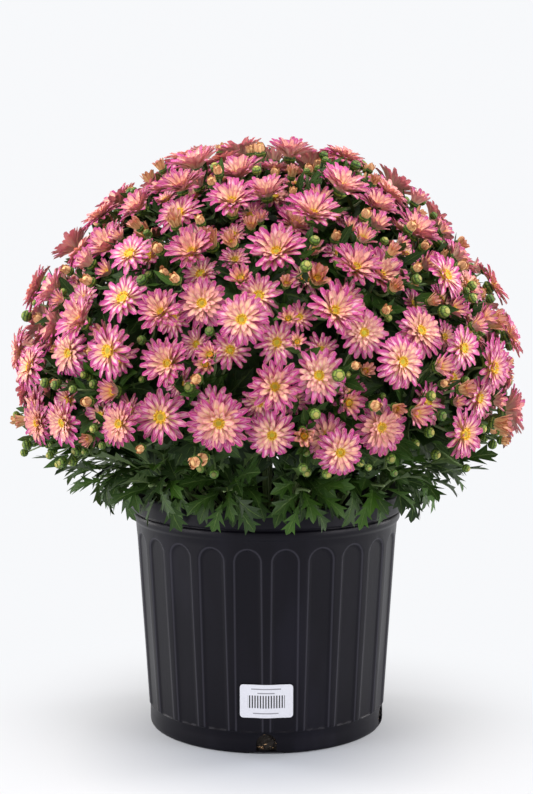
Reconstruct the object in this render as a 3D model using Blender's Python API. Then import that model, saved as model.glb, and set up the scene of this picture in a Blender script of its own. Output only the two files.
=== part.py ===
"""Pot chrysanthemum: a domed garden mum in bloom, growing in a fluted nursery pot.

Metres, +Z up. The origin is the middle of the pot's flat underside.
"""

import math
import random

import bmesh
import bpy
from mathutils import Vector

TOUCH_GAP = 0.0003

# Nursery pot: a tapered wall with arched panels between raised lands
POT_HEIGHT = 0.241
RIM_RADIUS = 0.1395
RIM_INNER_RADIUS = 0.1366
BASE_RADIUS = 0.1200
FLOOR_THICKNESS = 0.0025
PANEL_COUNT = 23
PANEL_SHARE = 0.775
PANEL_DEPTH = 0.0015
PANEL_FOOT = 0.022
PANEL_TOP = 0.2025
LAND_FOOT_RADIUS = 0.1217
LAND_TOP_RADIUS = 0.1335
LAND_TOP = 0.2105
BEAD_RADIUS = 0.1362
GROOVE_RADIUS = 0.1343
GROOVE_FOOT = 0.2193
GROOVE_TOP = 0.2222
WALL = 0.0018
ARCH_STEPS = 6
DRAIN_ANGLES = (0.0, 76.0, 180.0, 256.0)
DRAIN_WIDTH = 0.0196
DRAIN_FOOT = 0.0030
DRAIN_TOP = 0.0200
DRAIN_NEAR = 0.108
DRAIN_FAR = 0.130
NOTCH_NEAR = 0.1135
NOTCH_WIDTH = 0.034
NOTCH_HEIGHT = 0.0012

# Potting soil with a plain hole for each stem
SOIL_EDGE = 0.2050
SOIL_CROWN = 0.2085
SOIL_CROWN_RADIUS = 0.112
SOIL_FIT = 0.9985
HOLE_SIDES = 4
HOLE_DEPTH = 0.012

# Price label, a thin white sticker that bridges two panels
LABEL_WIDTH = 0.0510
LABEL_HEIGHT = 0.0330
LABEL_MIDDLE = 0.0534
LABEL_CORNER = 0.0030
LABEL_THICKNESS = 0.0006

# Dome of flowers, and the crown from which its stems run out
CROWN = Vector((0, 0, 0.165))
DOME_MIDDLE = 0.345
DOME_RADIUS = 0.256
DOME_RISE = 0.250
DOME_LOWEST = -0.15
STEM_LOWEST = math.radians(42)

# Flowers: how many, the least and greatest radius
SEED = 41
OPEN_BLOOMS = (134, 0.0220, 0.0278)
CUPS = (62, 0.0125, 0.0165)
BUDS = (28, 0.0048, 0.0062)
# Two tiers of flowers under the dome's surface, and how much a step between them counts
TIERS = ((0.004, 0.008), (0.016, 0.020))
TIER_WEIGHT = 2.8
FLOWER_GAP = 0.0006
PLACING_TRIES = 1500
FLOWER_TILT = 0.16
LARGE_BLOOM = 0.0256
CALYX_DEPTH = 0.0070
TWIG_RADIUS = 0.0013
STEM_RADIUS = 0.0022

# Flowering stems, each with a whorl of leaves that fills its share of the dome
# Rows of whorls: degrees down from the top of the dome, how many
WHORL_ROWS = ((0, 1), (30, 6), (60, 11), (90, 13))
WHORL_WANDER = math.radians(3)
WHORL_INSET = 0.042
WHORL_REACH = 0.058
WHORL_LOWEST = 0.284
WHORL_DROOP = 0.006
WHORL_NOTCH = 0.62
WHORL_SPLIT = 0.047
WHORL_SHORTEST = 0.017
WHORL_CROWN = 0.010
WHORL_DEPTH = 0.028

# Leafy stems that lean out over the rim, by radius and height
LEAFY_COUNT = 15
LEAFY_ROUTE = ((0.090, 0.197), (0.113, 0.238), (0.142, 0.262))
LEAFY_MIDDLE = (0.190, 0.258)
LEAFY_SLOPE = math.radians(-24)
LEAFY_TOP = 0.2825
LEAFY_FOOT = 0.232
LEAF_WIDTH = 0.66
LEAF_THICKNESS = 0.0014
STALK_LENGTH = 0.009
STALK_RADIUS = 0.0011
# Root and tip of each leaf: sideways, radius and height
LEAF_PLAN = (
    ((0.005, 0.180, 0.254), (0.022, 0.176, 0.2215)),
    ((-0.005, 0.182, 0.254), (-0.018, 0.190, 0.224)),
    ((0.007, 0.186, 0.262), (0.036, 0.222, 0.247)),
    ((-0.007, 0.186, 0.262), (-0.034, 0.226, 0.252)),
    ((0.003, 0.190, 0.269), (0.015, 0.245, 0.279)),
)


def clear_scene():
    """Empties the start-up scene."""
    for thing in list(bpy.data.objects):
        bpy.data.objects.remove(thing, do_unlink=True)


def finish_material(name, colour, roughness):
    """A plain Principled finish."""
    material = bpy.data.materials.new(name)
    material.use_nodes = True
    shader = material.node_tree.nodes["Principled BSDF"]
    shader.inputs["Base Color"].default_value = (*colour, 1.0)
    shader.inputs["Roughness"].default_value = roughness
    shader.inputs["Metallic"].default_value = 0.0
    return material


def object_from(bm, name, material=None):
    """Turns a bmesh into a named object with its faces pointing out."""
    bmesh.ops.recalc_face_normals(bm, faces=bm.faces[:])
    mesh = bpy.data.meshes.new(name)
    bm.to_mesh(mesh)
    bm.free()
    thing = bpy.data.objects.new(name, mesh)
    bpy.context.scene.collection.objects.link(thing)
    if material is not None:
        mesh.materials.append(material)
    return thing


def shade(thing, degrees):
    """Smooth shading that keeps the edges sharper than this angle."""
    thing.data.shade_smooth()
    thing.data.set_sharp_from_angle(angle=math.radians(degrees))


def ring_of(bm, points):
    return [bm.verts.new(point) for point in points]


def bridge(bm, lower, upper):
    """Joins two rings of the same length with pairs of triangles."""
    count = len(lower)
    for k in range(count):
        after = (k + 1) % count
        bm.faces.new((lower[k], lower[after], upper[after]))
        bm.faces.new((lower[k], upper[after], upper[k]))


def fan(bm, ring, tip):
    for k in range(len(ring)):
        bm.faces.new((ring[k], ring[(k + 1) % len(ring)], tip))


def stitch(bm, wide, narrow):
    """Joins a ring of many points to a ring of few, each with the nearest in turn."""
    many = len(wide)
    few = len(narrow)
    for k in range(many):
        here = narrow[k * few // many]
        bm.faces.new((wide[k], wide[(k + 1) % many], here))
        there = narrow[((k + 1) * few // many) % few]
        if there is not here:
            bm.faces.new((wide[(k + 1) % many], there, here))


def polar(radius, angle, height):
    """A point by its distance from the pot's axis; angle 0 faces the front, -Y."""
    return Vector((radius * math.sin(angle), -radius * math.cos(angle), height))


def apply_modifiers(thing):
    """Replaces the object's mesh with what its modifiers make of it."""
    graph = bpy.context.evaluated_depsgraph_get()
    made = bpy.data.meshes.new_from_object(thing.evaluated_get(graph))
    thing.modifiers.clear()
    thing.data = made


def cut(thing, cutter):
    """Takes the cutter's shape out of the object and removes the cutter."""
    trim = thing.modifiers.new("cut", "BOOLEAN")
    trim.operation = "DIFFERENCE"
    trim.solver = "EXACT"
    trim.object = cutter
    apply_modifiers(thing)
    bpy.data.objects.remove(cutter, do_unlink=True)


def keep_largest_body(thing):
    """Drops loose scraps and fills sealed hollows by keeping the largest shell."""
    bm = bmesh.new()
    bm.from_mesh(thing.data)
    unseen = set(bm.faces)
    shells = []
    while unseen:
        front = [unseen.pop()]
        shell = list(front)
        while front:
            near = {face for edge in front.pop().edges for face in edge.link_faces} & unseen
            unseen -= near
            front.extend(near)
            shell.extend(near)
        shells.append(shell)
    shells.sort(key=len, reverse=True)
    scraps = [face for shell in shells[1:] for face in shell]
    if scraps:
        bmesh.ops.delete(bm, geom=scraps, context="FACES")
    bm.to_mesh(thing.data)
    bm.free()


def fuse(thing, pieces):
    """Joins the pieces to the object they grow from, in one union."""
    group = bpy.data.collections.new(thing.name + "_repeats")
    bpy.context.scene.collection.children.link(group)
    for piece in pieces:
        bpy.context.scene.collection.objects.unlink(piece)
        group.objects.link(piece)
    join = thing.modifiers.new("join", "BOOLEAN")
    join.operation = "UNION"
    join.solver = "MANIFOLD"
    join.operand_type = "COLLECTION"
    join.collection = group
    apply_modifiers(thing)
    for piece in pieces:
        bpy.data.objects.remove(piece, do_unlink=True)
    bpy.data.collections.remove(group)
    keep_largest_body(thing)


def half_land():
    """Half the angle that a land takes up."""
    return math.pi / PANEL_COUNT * (1 - PANEL_SHARE)


def column_angles():
    """Angles of the wall's columns: the two edges of each land, with a land in front."""
    pitch = 2 * math.pi / PANEL_COUNT
    return [k * pitch + side * half_land() for k in range(PANEL_COUNT) for side in (-1, 1)]


def wall_lean():
    """How much the wall's radius grows with height."""
    return (LAND_TOP_RADIUS - LAND_FOOT_RADIUS) / (LAND_TOP - PANEL_FOOT)


def land_radius(height):
    return LAND_FOOT_RADIUS + wall_lean() * (height - PANEL_FOOT)


def inner_radius(height):
    return land_radius(height) - PANEL_DEPTH - WALL


def flat_sided(radius, height):
    """The corners of a section whose flat sides lie behind the panels."""
    return [polar(radius, 2 * math.pi * k / PANEL_COUNT, height) for k in range(PANEL_COUNT)]


def pot_body():
    """The turned wall, floor and rim, before its panels are cut."""
    profile = (
        (BASE_RADIUS - 0.0024, 0.0),
        (BASE_RADIUS - 0.0002, 0.0026),
        (BASE_RADIUS, PANEL_FOOT),
        (LAND_FOOT_RADIUS, PANEL_FOOT + 0.0004),
        (LAND_TOP_RADIUS, LAND_TOP),
        (BEAD_RADIUS, LAND_TOP + 0.0022),
        (BEAD_RADIUS, GROOVE_FOOT),
        (GROOVE_RADIUS, (GROOVE_FOOT + GROOVE_TOP) / 2),
        (RIM_RADIUS - 0.0004, GROOVE_TOP),
        (RIM_RADIUS, POT_HEIGHT - 0.0025),
        (RIM_RADIUS - 0.0012, POT_HEIGHT),
        (RIM_INNER_RADIUS, POT_HEIGHT),
    )
    bm = bmesh.new()
    rings = []
    for radius, height in profile:
        rings.append(ring_of(bm, [polar(radius, angle, height) for angle in column_angles()]))
    for lower, upper in zip(rings, rings[1:]):
        bridge(bm, lower, upper)
    bm.faces.new(rings[0])
    inside = []
    for height in (LAND_TOP, FLOOR_THICKNESS):
        inside.append(ring_of(bm, flat_sided(inner_radius(height), height)))
    stitch(bm, rings[-1][1:] + rings[-1][:1], inside[0])
    bridge(bm, *inside)
    bm.faces.new(inside[1])
    return object_from(bm, "pot", finish_material("black_plastic", (0.018, 0.018, 0.021), 0.42))


def arch_outline(width, foot, top):
    """(across, up) points of an upright outline with a half-round top."""
    radius = width / 2
    outline = [(radius, foot), (-radius, foot)]
    for k in range(ARCH_STEPS + 1):
        angle = math.pi - math.pi * k / ARCH_STEPS
        outline.append((radius * math.cos(angle), top - radius + radius * math.sin(angle)))
    return outline[::-1]


def add_prism(bm, outline, angle, near, far, lean=0.0):
    """Raises an (across, up) outline outwards from near to far, facing one way round the pot."""
    across = Vector((math.cos(angle), math.sin(angle), 0))
    out = polar(1, angle, 0)
    up = Vector((0, 0, 1)) + out * lean
    inner = ring_of(bm, [across * x + up * z + out * near for x, z in outline])
    outer = ring_of(bm, [across * x + up * z + out * far for x, z in outline])
    bridge(bm, inner, outer)
    bm.faces.new(inner)
    bm.faces.new(outer)


def panel_cutters():
    """An arched prism over each panel, whose inner face is the sunk panel."""
    pitch = 2 * math.pi / PANEL_COUNT
    half_panel = pitch / 2 - half_land()
    flat = math.cos(half_panel)
    near = (LAND_FOOT_RADIUS - wall_lean() * PANEL_FOOT) * flat - PANEL_DEPTH * 0.9
    width = 2 * LAND_FOOT_RADIUS * math.sin(half_panel) * 1.035
    outline = arch_outline(width, PANEL_FOOT - 0.004, PANEL_TOP)
    bm = bmesh.new()
    for k in range(PANEL_COUNT):
        add_prism(bm, outline, (k + 0.5) * pitch, near, near + 0.012, wall_lean() * flat)
    return object_from(bm, "panel_cutters")


def drain_cutters():
    """A round-topped hole through the wall's foot with a shallow notch under it, four times."""
    bm = bmesh.new()
    hole = arch_outline(DRAIN_WIDTH, DRAIN_FOOT, DRAIN_TOP)
    side = NOTCH_WIDTH / 2
    slant = NOTCH_HEIGHT * 1.7
    notch = [(-side, -slant), (side, -slant), (side - slant, NOTCH_HEIGHT), (slant - side, NOTCH_HEIGHT)]
    for degrees in DRAIN_ANGLES:
        add_prism(bm, hole, math.radians(degrees), DRAIN_NEAR, DRAIN_FAR)
        add_prism(bm, notch, math.radians(degrees), NOTCH_NEAR, DRAIN_FAR)
    return object_from(bm, "drain_cutters")


def make_pot():
    pot = pot_body()
    cut(pot, panel_cutters())
    cut(pot, drain_cutters())
    shade(pot, 25)


def stem_seat(way):
    """Where a flowering stem's axis passes through the top of the soil."""
    return CROWN + way * ((SOIL_CROWN - CROWN.z) / way.z)


def make_soil(feet):
    """The root ball and its bark, with a plain hole round each stem's foot."""
    foot = FLOOR_THICKNESS + TOUCH_GAP
    rows = (
        (inner_radius(foot) * SOIL_FIT - TOUCH_GAP, foot),
        (inner_radius(SOIL_EDGE) * SOIL_FIT - TOUCH_GAP, SOIL_EDGE),
        (SOIL_CROWN_RADIUS, SOIL_CROWN),
    )
    bm = bmesh.new()
    rings = [ring_of(bm, flat_sided(radius, z)) for radius, z in rows]
    for lower, upper in zip(rings, rings[1:]):
        bridge(bm, lower, upper)
    bm.faces.new(rings[0])
    bm.faces.new(rings[-1])
    soil = object_from(bm, "soil", finish_material("bark_soil", (0.030, 0.018, 0.011), 0.95))
    holes = bmesh.new()
    wide = (STEM_RADIUS + TOUCH_GAP * 1.3) / math.cos(math.pi / HOLE_SIDES)
    for seat, way in feet:
        side, front = across_axes(way)
        ends = (seat - way * HOLE_DEPTH, seat + way * HOLE_DEPTH)
        rings = [ring_of(holes, round_points(end, side, front, wide, HOLE_SIDES)) for end in ends]
        bridge(holes, *rings)
        holes.faces.new(rings[0])
        holes.faces.new(rings[1])
    cut(soil, object_from(holes, "stem_holes"))
    shade(soil, 30)


def make_label():
    """The sticker: its middle lies on the front land and its sides sink towards the panels."""
    half_width = LABEL_WIDTH / 2
    half_height = LABEL_HEIGHT / 2
    land_edge = half_land() * LAND_FOOT_RADIUS + 0.0006
    # Distance from the middle, how far it has sunk, and how much its corner is trimmed
    columns = (
        (land_edge, 0.0, 0.0),
        (0.013, 0.0016, 0.0),
        (half_width - LABEL_CORNER, 0.0026, 0.0),
        (half_width, 0.0030, LABEL_CORNER),
    )
    stations = [(-x, sink, trim) for x, sink, trim in columns[::-1]] + list(columns)
    bm = bmesh.new()
    sections = []
    for x, sink, trim in stations:
        low, high = trim - half_height, half_height - trim
        section = []
        for z, lift in ((low, 0), (high, 0), (high, 1), (low, 1)):
            height = LABEL_MIDDLE + z
            away = land_radius(height) + TOUCH_GAP - sink + lift * LABEL_THICKNESS
            section.append(Vector((x, -away, height)))
        sections.append(ring_of(bm, section))
    for before, after in zip(sections, sections[1:]):
        bridge(bm, before, after)
    bm.faces.new(sections[0])
    bm.faces.new(sections[-1])
    object_from(bm, "label", finish_material("white_paper", (0.80, 0.80, 0.82), 0.45))


def across_axes(way):
    """Two unit vectors square to a direction and to each other."""
    helper = Vector((0, 0, 1)) if abs(way.z) < 0.9 else Vector((0, 1, 0))
    side = way.cross(helper).normalized()
    return side, way.cross(side).normalized()


def round_points(middle, side, front, radius, count, turn=0.0):
    points = []
    for k in range(count):
        angle = turn + 2 * math.pi * k / count
        points.append(middle + side * (radius * math.cos(angle)) + front * (radius * math.sin(angle)))
    return points


def star_points(middle, axis, petals, tip, notch, turn):
    """A ring that runs from petal tip to notch and on; tip and notch are (radius, lift)."""
    side, front = across_axes(axis)
    points = []
    for k in range(2 * petals):
        radius, lift = notch if k % 2 else tip
        angle = turn + math.pi * k / petals
        flat = side * (radius * math.cos(angle)) + front * (radius * math.sin(angle))
        points.append(middle + flat + axis * lift)
    return points


def dome_point(lean, turn, inset):
    """A point under the dome's surface and the way out there; lean is the cosine from the top."""
    flat = math.sqrt(1 - lean * lean)
    out = Vector((flat * math.sin(turn), -flat * math.cos(turn), lean))
    radius = DOME_RADIUS - inset
    rise = DOME_RISE - inset
    return Vector((radius * out.x, radius * out.y, DOME_MIDDLE + rise * out.z)), out


def raised(way):
    """The same heading, no flatter than a stem can be that clears the rim."""
    if way.z >= math.sin(STEM_LOWEST):
        return way
    scale = math.cos(STEM_LOWEST) / math.hypot(way.x, way.y)
    return Vector((way.x * scale, way.y * scale, math.sin(STEM_LOWEST)))


def lay_out_sprays(draw):
    """The flowering stems in rows: where each whorl sits, the way out there, its stem's way."""
    sprays = []
    for row, (down, count) in enumerate(WHORL_ROWS):
        for k in range(count):
            turn = 2 * math.pi * (k + 0.5 * (row % 2)) / count + draw.uniform(-1, 1) * WHORL_WANDER
            lean = math.cos(math.radians(down) + draw.uniform(-1, 1) * WHORL_WANDER * (down > 0))
            middle, out = dome_point(lean, turn, WHORL_INSET)
            way = raised((middle - CROWN).normalized())
            sprays.append({"middle": middle, "out": out, "way": way, "flowers": []})
    for spray in sprays:
        walls = [((other["middle"] + spray["middle"]) / 2, (other["middle"] - spray["middle"]).normalized())
                 for other in sprays if other is not spray]
        walls.append((Vector((0, 0, WHORL_LOWEST)), Vector((0, 0, -1))))
        spray["corners"] = whorl_corners(spray["middle"] - spray["out"] * WHORL_DROOP, spray["out"], walls)
    return sprays


def whorl_corners(middle, axis, walls):
    """The corners of a whorl's own patch: a square trimmed back to the walls round it."""
    side, front = across_axes(axis)
    corners = [middle + side * (x * WHORL_REACH) + front * (y * WHORL_REACH)
               for x, y in ((1, 1), (-1, 1), (-1, -1), (1, -1))]
    for point, normal in walls:
        trimmed = []
        for here, after in zip(corners, corners[1:] + corners[:1]):
            depth = (point - here).dot(normal) - TOUCH_GAP
            next_depth = (point - after).dot(normal) - TOUCH_GAP
            if depth >= 0:
                trimmed.append(here)
            if depth * next_depth < 0:
                trimmed.append(here.lerp(after, depth / (depth - next_depth)))
        corners = trimmed
    return [here for here, after in zip(corners, corners[1:] + corners[:1])
            if (after - here).length > WHORL_SHORTEST]


def twig_root(spray, goal):
    """Where a twig leaves the whorl: part of the way out towards what it carries."""
    across = goal - spray["middle"]
    across -= spray["out"] * across.dot(spray["out"])
    return spray["middle"] + across * 0.30 - spray["out"] * 0.004


def distance_to_line(point, start, end):
    along = end - start
    share = max(0.0, min(1.0, (point - start).dot(along) / along.length_squared))
    return (point - start - along * share).length


def has_room(flower, flowers):
    """Whether a flower and its twig keep clear of all the others and of their twigs."""
    for other in flowers:
        reach = other["radius"] + flower["radius"] + FLOWER_GAP
        apart = (other["spot"] - flower["spot"]).length
        if math.hypot(apart, (other["inset"] - flower["inset"]) * TIER_WEIGHT) < reach:
            return False
        if other["spray"] is flower["spray"]:
            continue
        if distance_to_line(other["place"], flower["root"], flower["place"]) < other["radius"] * 0.8 + 0.003:
            return False
        if distance_to_line(flower["place"], other["root"], other["place"]) < flower["radius"] * 0.8 + 0.003:
            return False
    return True


def lay_out_flowers(draw, sprays):
    """Drops the flowers on the dome, the large ones first, each on the nearest spray."""
    flowers = []
    for kind, plan in (("open", OPEN_BLOOMS), ("cup", CUPS), ("bud", BUDS)):
        count, least, greatest = plan
        for radius in sorted((draw.uniform(least, greatest) for _ in range(count)), reverse=True):
            for _ in range(PLACING_TRIES):
                lean = 1 - draw.random() * (1 - DOME_LOWEST)
                turn = draw.uniform(0, 2 * math.pi)
                inset = draw.uniform(*draw.choice(TIERS))
                place, out = dome_point(lean, turn, inset)
                spray = min(sprays, key=lambda each: (each["middle"] - place).length)
                flower = {"kind": kind, "radius": radius, "place": place, "inset": inset, "spray": spray}
                flower["spot"] = dome_point(lean, turn, 0)[0]
                flower["root"] = twig_root(spray, place)
                if not has_room(flower, flowers):
                    continue
                tilt = Vector((draw.uniform(-1, 1), draw.uniform(-1, 1), draw.uniform(-0.6, 1.2)))
                flower["facing"] = (out + tilt * FLOWER_TILT).normalized()
                flower["turn"] = draw.uniform(0, math.pi)
                flowers.append(flower)
                spray["flowers"].append(flower)
                break
    return flowers


def add_twig(bm, ring, middle, root):
    """Runs a twig with flat sides from the ring under a flower down to its sunk root."""
    foot = ring_of(bm, [root + vert.co - middle for vert in ring])
    bridge(bm, ring, foot)
    bm.faces.new(foot)


def add_neck(bm, ring, flower, depth, radius):
    """Closes the underside of a flower to its neck and runs the twig down from there."""
    side, front = across_axes(flower["facing"])
    base = flower["place"] - flower["facing"] * depth
    neck = ring_of(bm, round_points(base, side, front, radius, 3, flower["turn"]))
    stitch(bm, ring, neck)
    add_twig(bm, neck, base, flower["root"])


def open_bloom(flower):
    """An outer round of petals, a raised inner round between them, a calyx and a twig."""
    bm = bmesh.new()
    middle, axis, size, turn = (flower[key] for key in ("place", "facing", "radius", "turn"))
    petals = 6 if size > LARGE_BLOOM else 5
    outer = ring_of(bm, star_points(middle, axis, petals, (size * 0.99, size * 0.05),
                                    (size * 0.62, -size * 0.06), turn))
    side, front = across_axes(axis)
    inner = ring_of(bm, round_points(middle + axis * (size * 0.26), side, front, size * 0.42, petals,
                                     turn + math.pi / petals))
    for k in range(petals):
        tip, notch, next_tip = outer[2 * k], outer[2 * k + 1], outer[(2 * k + 2) % (2 * petals)]
        bm.faces.new((tip, notch, inner[k]))
        bm.faces.new((notch, next_tip, inner[k]))
        bm.faces.new((next_tip, inner[(k + 1) % petals], inner[k]))
    fan(bm, inner, bm.verts.new(middle + axis * size * 0.08))
    add_neck(bm, outer, flower, CALYX_DEPTH, TWIG_RADIUS * 1.3)
    return object_from(bm, "bloom")


def cup_bloom(flower):
    """A half-open bloom: petals that stand up in a cup over its calyx and twig."""
    bm = bmesh.new()
    middle, axis, size, turn = (flower[key] for key in ("place", "facing", "radius", "turn"))
    rim = ring_of(bm, star_points(middle, axis, 4, (size * 0.78, size * 0.60),
                                  (size * 0.66, size * 0.05), turn))
    fan(bm, rim, bm.verts.new(middle))
    add_neck(bm, rim, flower, size * 0.75, TWIG_RADIUS * 1.4)
    return object_from(bm, "cup")


def closed_bud(flower):
    """A round bud on its twig."""
    bm = bmesh.new()
    middle, axis, size, turn = (flower[key] for key in ("place", "facing", "radius", "turn"))
    side, front = across_axes(axis)
    waist = ring_of(bm, round_points(middle, side, front, size, 5, turn))
    fan(bm, waist, bm.verts.new(middle + axis * size * 0.85))
    add_neck(bm, waist, flower, size * 0.9, TWIG_RADIUS)
    return object_from(bm, "bud")


def add_whorl(bm, corners, axis, neck):
    """A whorl of leaves whose tips reach round its patch, closed underneath to the neck."""
    middle = sum(corners, Vector()) / len(corners)
    tips = []
    for here, after in zip(corners, corners[1:] + corners[:1]):
        tips.append(here)
        if (after - here).length > WHORL_SPLIT:
            tips.append((here + after) / 2)
    rim = []
    for here, after in zip(tips, tips[1:] + tips[:1]):
        notch = middle.lerp((here + after) / 2, WHORL_NOTCH)
        rim += [here, notch + axis * WHORL_DROOP]
    whorl = ring_of(bm, rim)
    fan(bm, whorl, bm.verts.new(middle + axis * (WHORL_DROOP + WHORL_CROWN)))
    stitch(bm, whorl, neck)


def leafy_shoot(spray, name, material):
    """The flowering stem from its foot in the soil up to the whorl of leaves under its flowers."""
    bm = bmesh.new()
    way = spray["way"]
    hub = CROWN + way * ((spray["middle"] - CROWN).length - WHORL_DEPTH)
    foot = stem_seat(way) - way * (HOLE_DEPTH - TOUCH_GAP)
    side, front = across_axes(way)
    neck = ring_of(bm, round_points(hub, side, front, STEM_RADIUS, 3))
    add_whorl(bm, spray["corners"], spray["out"], neck)
    add_twig(bm, neck, hub, foot)
    return object_from(bm, name, material)


def make_spray(spray, name, material):
    """One flowering stem with its leaves, blooms and buds, fused in one body."""
    stem = leafy_shoot(spray, name, material)
    shapes = {"open": open_bloom, "cup": cup_bloom, "bud": closed_bud}
    fuse(stem, [shapes[flower["kind"]](flower) for flower in spray["flowers"]])


def lobed_leaf(root, tip, roll):
    """A thin arched leaf with cut lobes, on a stalk sunk in what it grows from."""
    bm = bmesh.new()
    way = (tip - root).normalized()
    side = way.cross(Vector((0, 0, 1))).normalized()
    up = side.cross(way)
    side = side * math.cos(roll) + up * math.sin(roll)
    up = side.cross(way)
    blade = (tip - root).length - STALK_LENGTH
    width = blade * LEAF_WIDTH

    def place(along, across, drop):
        return root + way * along + side * across - up * drop

    # Share along the blade, across and drop of one side, from the stalk to the tip
    half = [
        (0.0, STALK_RADIUS, 0.0),
        (0.26, 0.42 * width, 0.02 * blade),
        (0.46, 0.20 * width, -0.04 * blade),
        (0.68, 0.46 * width, 0.01 * blade),
    ]
    other = [(share, -across, drop) for share, across, drop in half[::-1]]
    outline = [*half, (1.0, 0.0, 0.0), *other]
    rim = ring_of(bm, [place(STALK_LENGTH + share * blade, across, drop) for share, across, drop in outline])
    heart = STALK_LENGTH + 0.52 * blade
    rise = 0.07 * blade
    top = bm.verts.new(place(heart, 0, -rise - LEAF_THICKNESS / 2))
    below = bm.verts.new(place(heart, 0, -rise + LEAF_THICKNESS / 2))
    heel = bm.verts.new(place(STALK_LENGTH, 0.0, STALK_RADIUS * 1.6))
    fan(bm, rim, top)
    for here, after in zip(rim, rim[1:]):
        bm.faces.new((here, after, below))
    bm.faces.new((rim[-1], heel, below))
    bm.faces.new((heel, rim[0], below))
    base = [rim[0], rim[-1], heel]
    add_twig(bm, base, root + way * STALK_LENGTH, root)
    return object_from(bm, "leaf")


def leafy_shield(turn, name, material):
    """A stem up out of the soil and over the rim, closed by a whorl that fills its wedge."""
    bm = bmesh.new()
    side = Vector((math.cos(turn), math.sin(turn), 0))
    rings = []
    for k, (radius, height) in enumerate(LEAFY_ROUTE):
        lift = math.radians(60 - 12 * k)
        front = polar(-math.sin(lift), turn, math.cos(lift))
        rings.append(ring_of(bm, round_points(polar(radius, turn, height), side, front, STEM_RADIUS, 3)))
    for lower, upper in zip(rings, rings[1:]):
        bridge(bm, lower, upper)
    bm.faces.new(rings[0])
    axis = polar(math.cos(LEAFY_SLOPE), turn, math.sin(LEAFY_SLOPE))
    half_wedge = math.pi / LEAFY_COUNT
    walls = [(Vector(), polar(1, turn + way * (half_wedge + math.pi / 2), 0)) for way in (-1, 1)]
    walls.append((Vector((0, 0, LEAFY_TOP)), Vector((0, 0, 1))))
    walls.append((Vector((0, 0, LEAFY_FOOT)), Vector((0, 0, -1))))
    add_whorl(bm, whorl_corners(polar(LEAFY_MIDDLE[0], turn, LEAFY_MIDDLE[1]), axis, walls), axis, rings[-1])
    return object_from(bm, name, material)


def make_leafy_stem(turn, draw, name, material):
    """One leafy stem of the skirt over the rim, with its lobed leaves fused on."""
    stem = leafy_shield(turn, name, material)
    side = Vector((math.cos(turn), math.sin(turn), 0))
    leaves = []
    for ends in LEAF_PLAN:
        root, tip = [polar(radius, turn, height) + side * across for across, radius, height in ends]
        tip += side * draw.uniform(-0.003, 0.003) + Vector((0, 0, draw.uniform(-0.002, 0.002)))
        leaves.append(lobed_leaf(root, tip, draw.uniform(-0.2, 0.2)))
    fuse(stem, leaves)


def leafy_foot(turn):
    """Where a leafy stem's foot stands in the soil, and the way it leans."""
    (r0, z0), (r1, z1) = LEAFY_ROUTE[:2]
    slope = math.atan2(z1 - z0, r1 - r0)
    way = polar(math.cos(slope), turn, math.sin(slope))
    return polar(r0, turn, z0) + way * (HOLE_DEPTH - TOUCH_GAP), way


def main():
    clear_scene()
    draw = random.Random(SEED)
    petals = finish_material("pink_petals", (0.58, 0.13, 0.30), 0.60)
    foliage = finish_material("green_leaves", (0.045, 0.110, 0.030), 0.55)
    make_pot()
    make_label()
    sprays = lay_out_sprays(draw)
    flowers = lay_out_flowers(draw, sprays)
    print("flowers placed:", len(flowers))
    for k, spray in enumerate(sprays):
        make_spray(spray, f"flowering_stem_{k + 1:02d}", petals)
    turns = [2 * math.pi * (k + 0.5) / LEAFY_COUNT for k in range(LEAFY_COUNT)]
    for k, turn in enumerate(turns):
        make_leafy_stem(turn, draw, f"leafy_stem_{k + 1:02d}", foliage)
    feet = [(stem_seat(spray["way"]), spray["way"]) for spray in sprays]
    make_soil(feet + [leafy_foot(turn) for turn in turns])


main()
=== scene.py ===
# %% [markdown]
# # A potted garden chrysanthemum in bloom
# The plant is a dome of pink double daisies over dark lobed leaves, in a black fluted nursery pot.
# The measured model gives every stem, flower and leaf its place. This lesson dresses that model:
# it models one good petal, one leaf, one bud and one stalk, and plants shaped copies of them.

# %% Load the measured model
import math
import random

import bmesh
import bpy
import numpy as np
from mathutils import Matrix, Vector


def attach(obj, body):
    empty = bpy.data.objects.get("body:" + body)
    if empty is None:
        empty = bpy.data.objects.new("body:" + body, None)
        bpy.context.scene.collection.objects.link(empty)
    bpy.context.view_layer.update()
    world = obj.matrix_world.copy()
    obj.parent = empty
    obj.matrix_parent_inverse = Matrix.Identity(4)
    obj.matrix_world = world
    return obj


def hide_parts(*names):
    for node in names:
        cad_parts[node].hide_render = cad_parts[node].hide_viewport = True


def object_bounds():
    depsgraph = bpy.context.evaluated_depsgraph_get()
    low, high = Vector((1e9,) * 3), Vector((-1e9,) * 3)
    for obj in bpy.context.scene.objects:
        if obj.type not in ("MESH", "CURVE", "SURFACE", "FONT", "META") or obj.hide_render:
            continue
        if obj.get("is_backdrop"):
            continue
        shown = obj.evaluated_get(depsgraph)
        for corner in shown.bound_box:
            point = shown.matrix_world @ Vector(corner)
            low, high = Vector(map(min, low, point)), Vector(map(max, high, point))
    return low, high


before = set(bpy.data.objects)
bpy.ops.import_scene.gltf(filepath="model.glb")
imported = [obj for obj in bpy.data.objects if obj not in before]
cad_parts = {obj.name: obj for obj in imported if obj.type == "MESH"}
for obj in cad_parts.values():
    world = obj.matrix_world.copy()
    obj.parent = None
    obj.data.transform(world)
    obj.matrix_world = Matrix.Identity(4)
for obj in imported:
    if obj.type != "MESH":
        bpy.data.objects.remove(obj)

cad_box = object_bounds()
print("measured box in mm:", [[round(value * 1000, 1) for value in corner] for corner in cad_box])

# %% [markdown]
# ## The camera
# The photograph was taken level with the flowers, through a long lens. The lens, the distance and
# the small downward pitch come from fitting the pot's rim, groove and foot, whose sizes are known.

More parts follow.
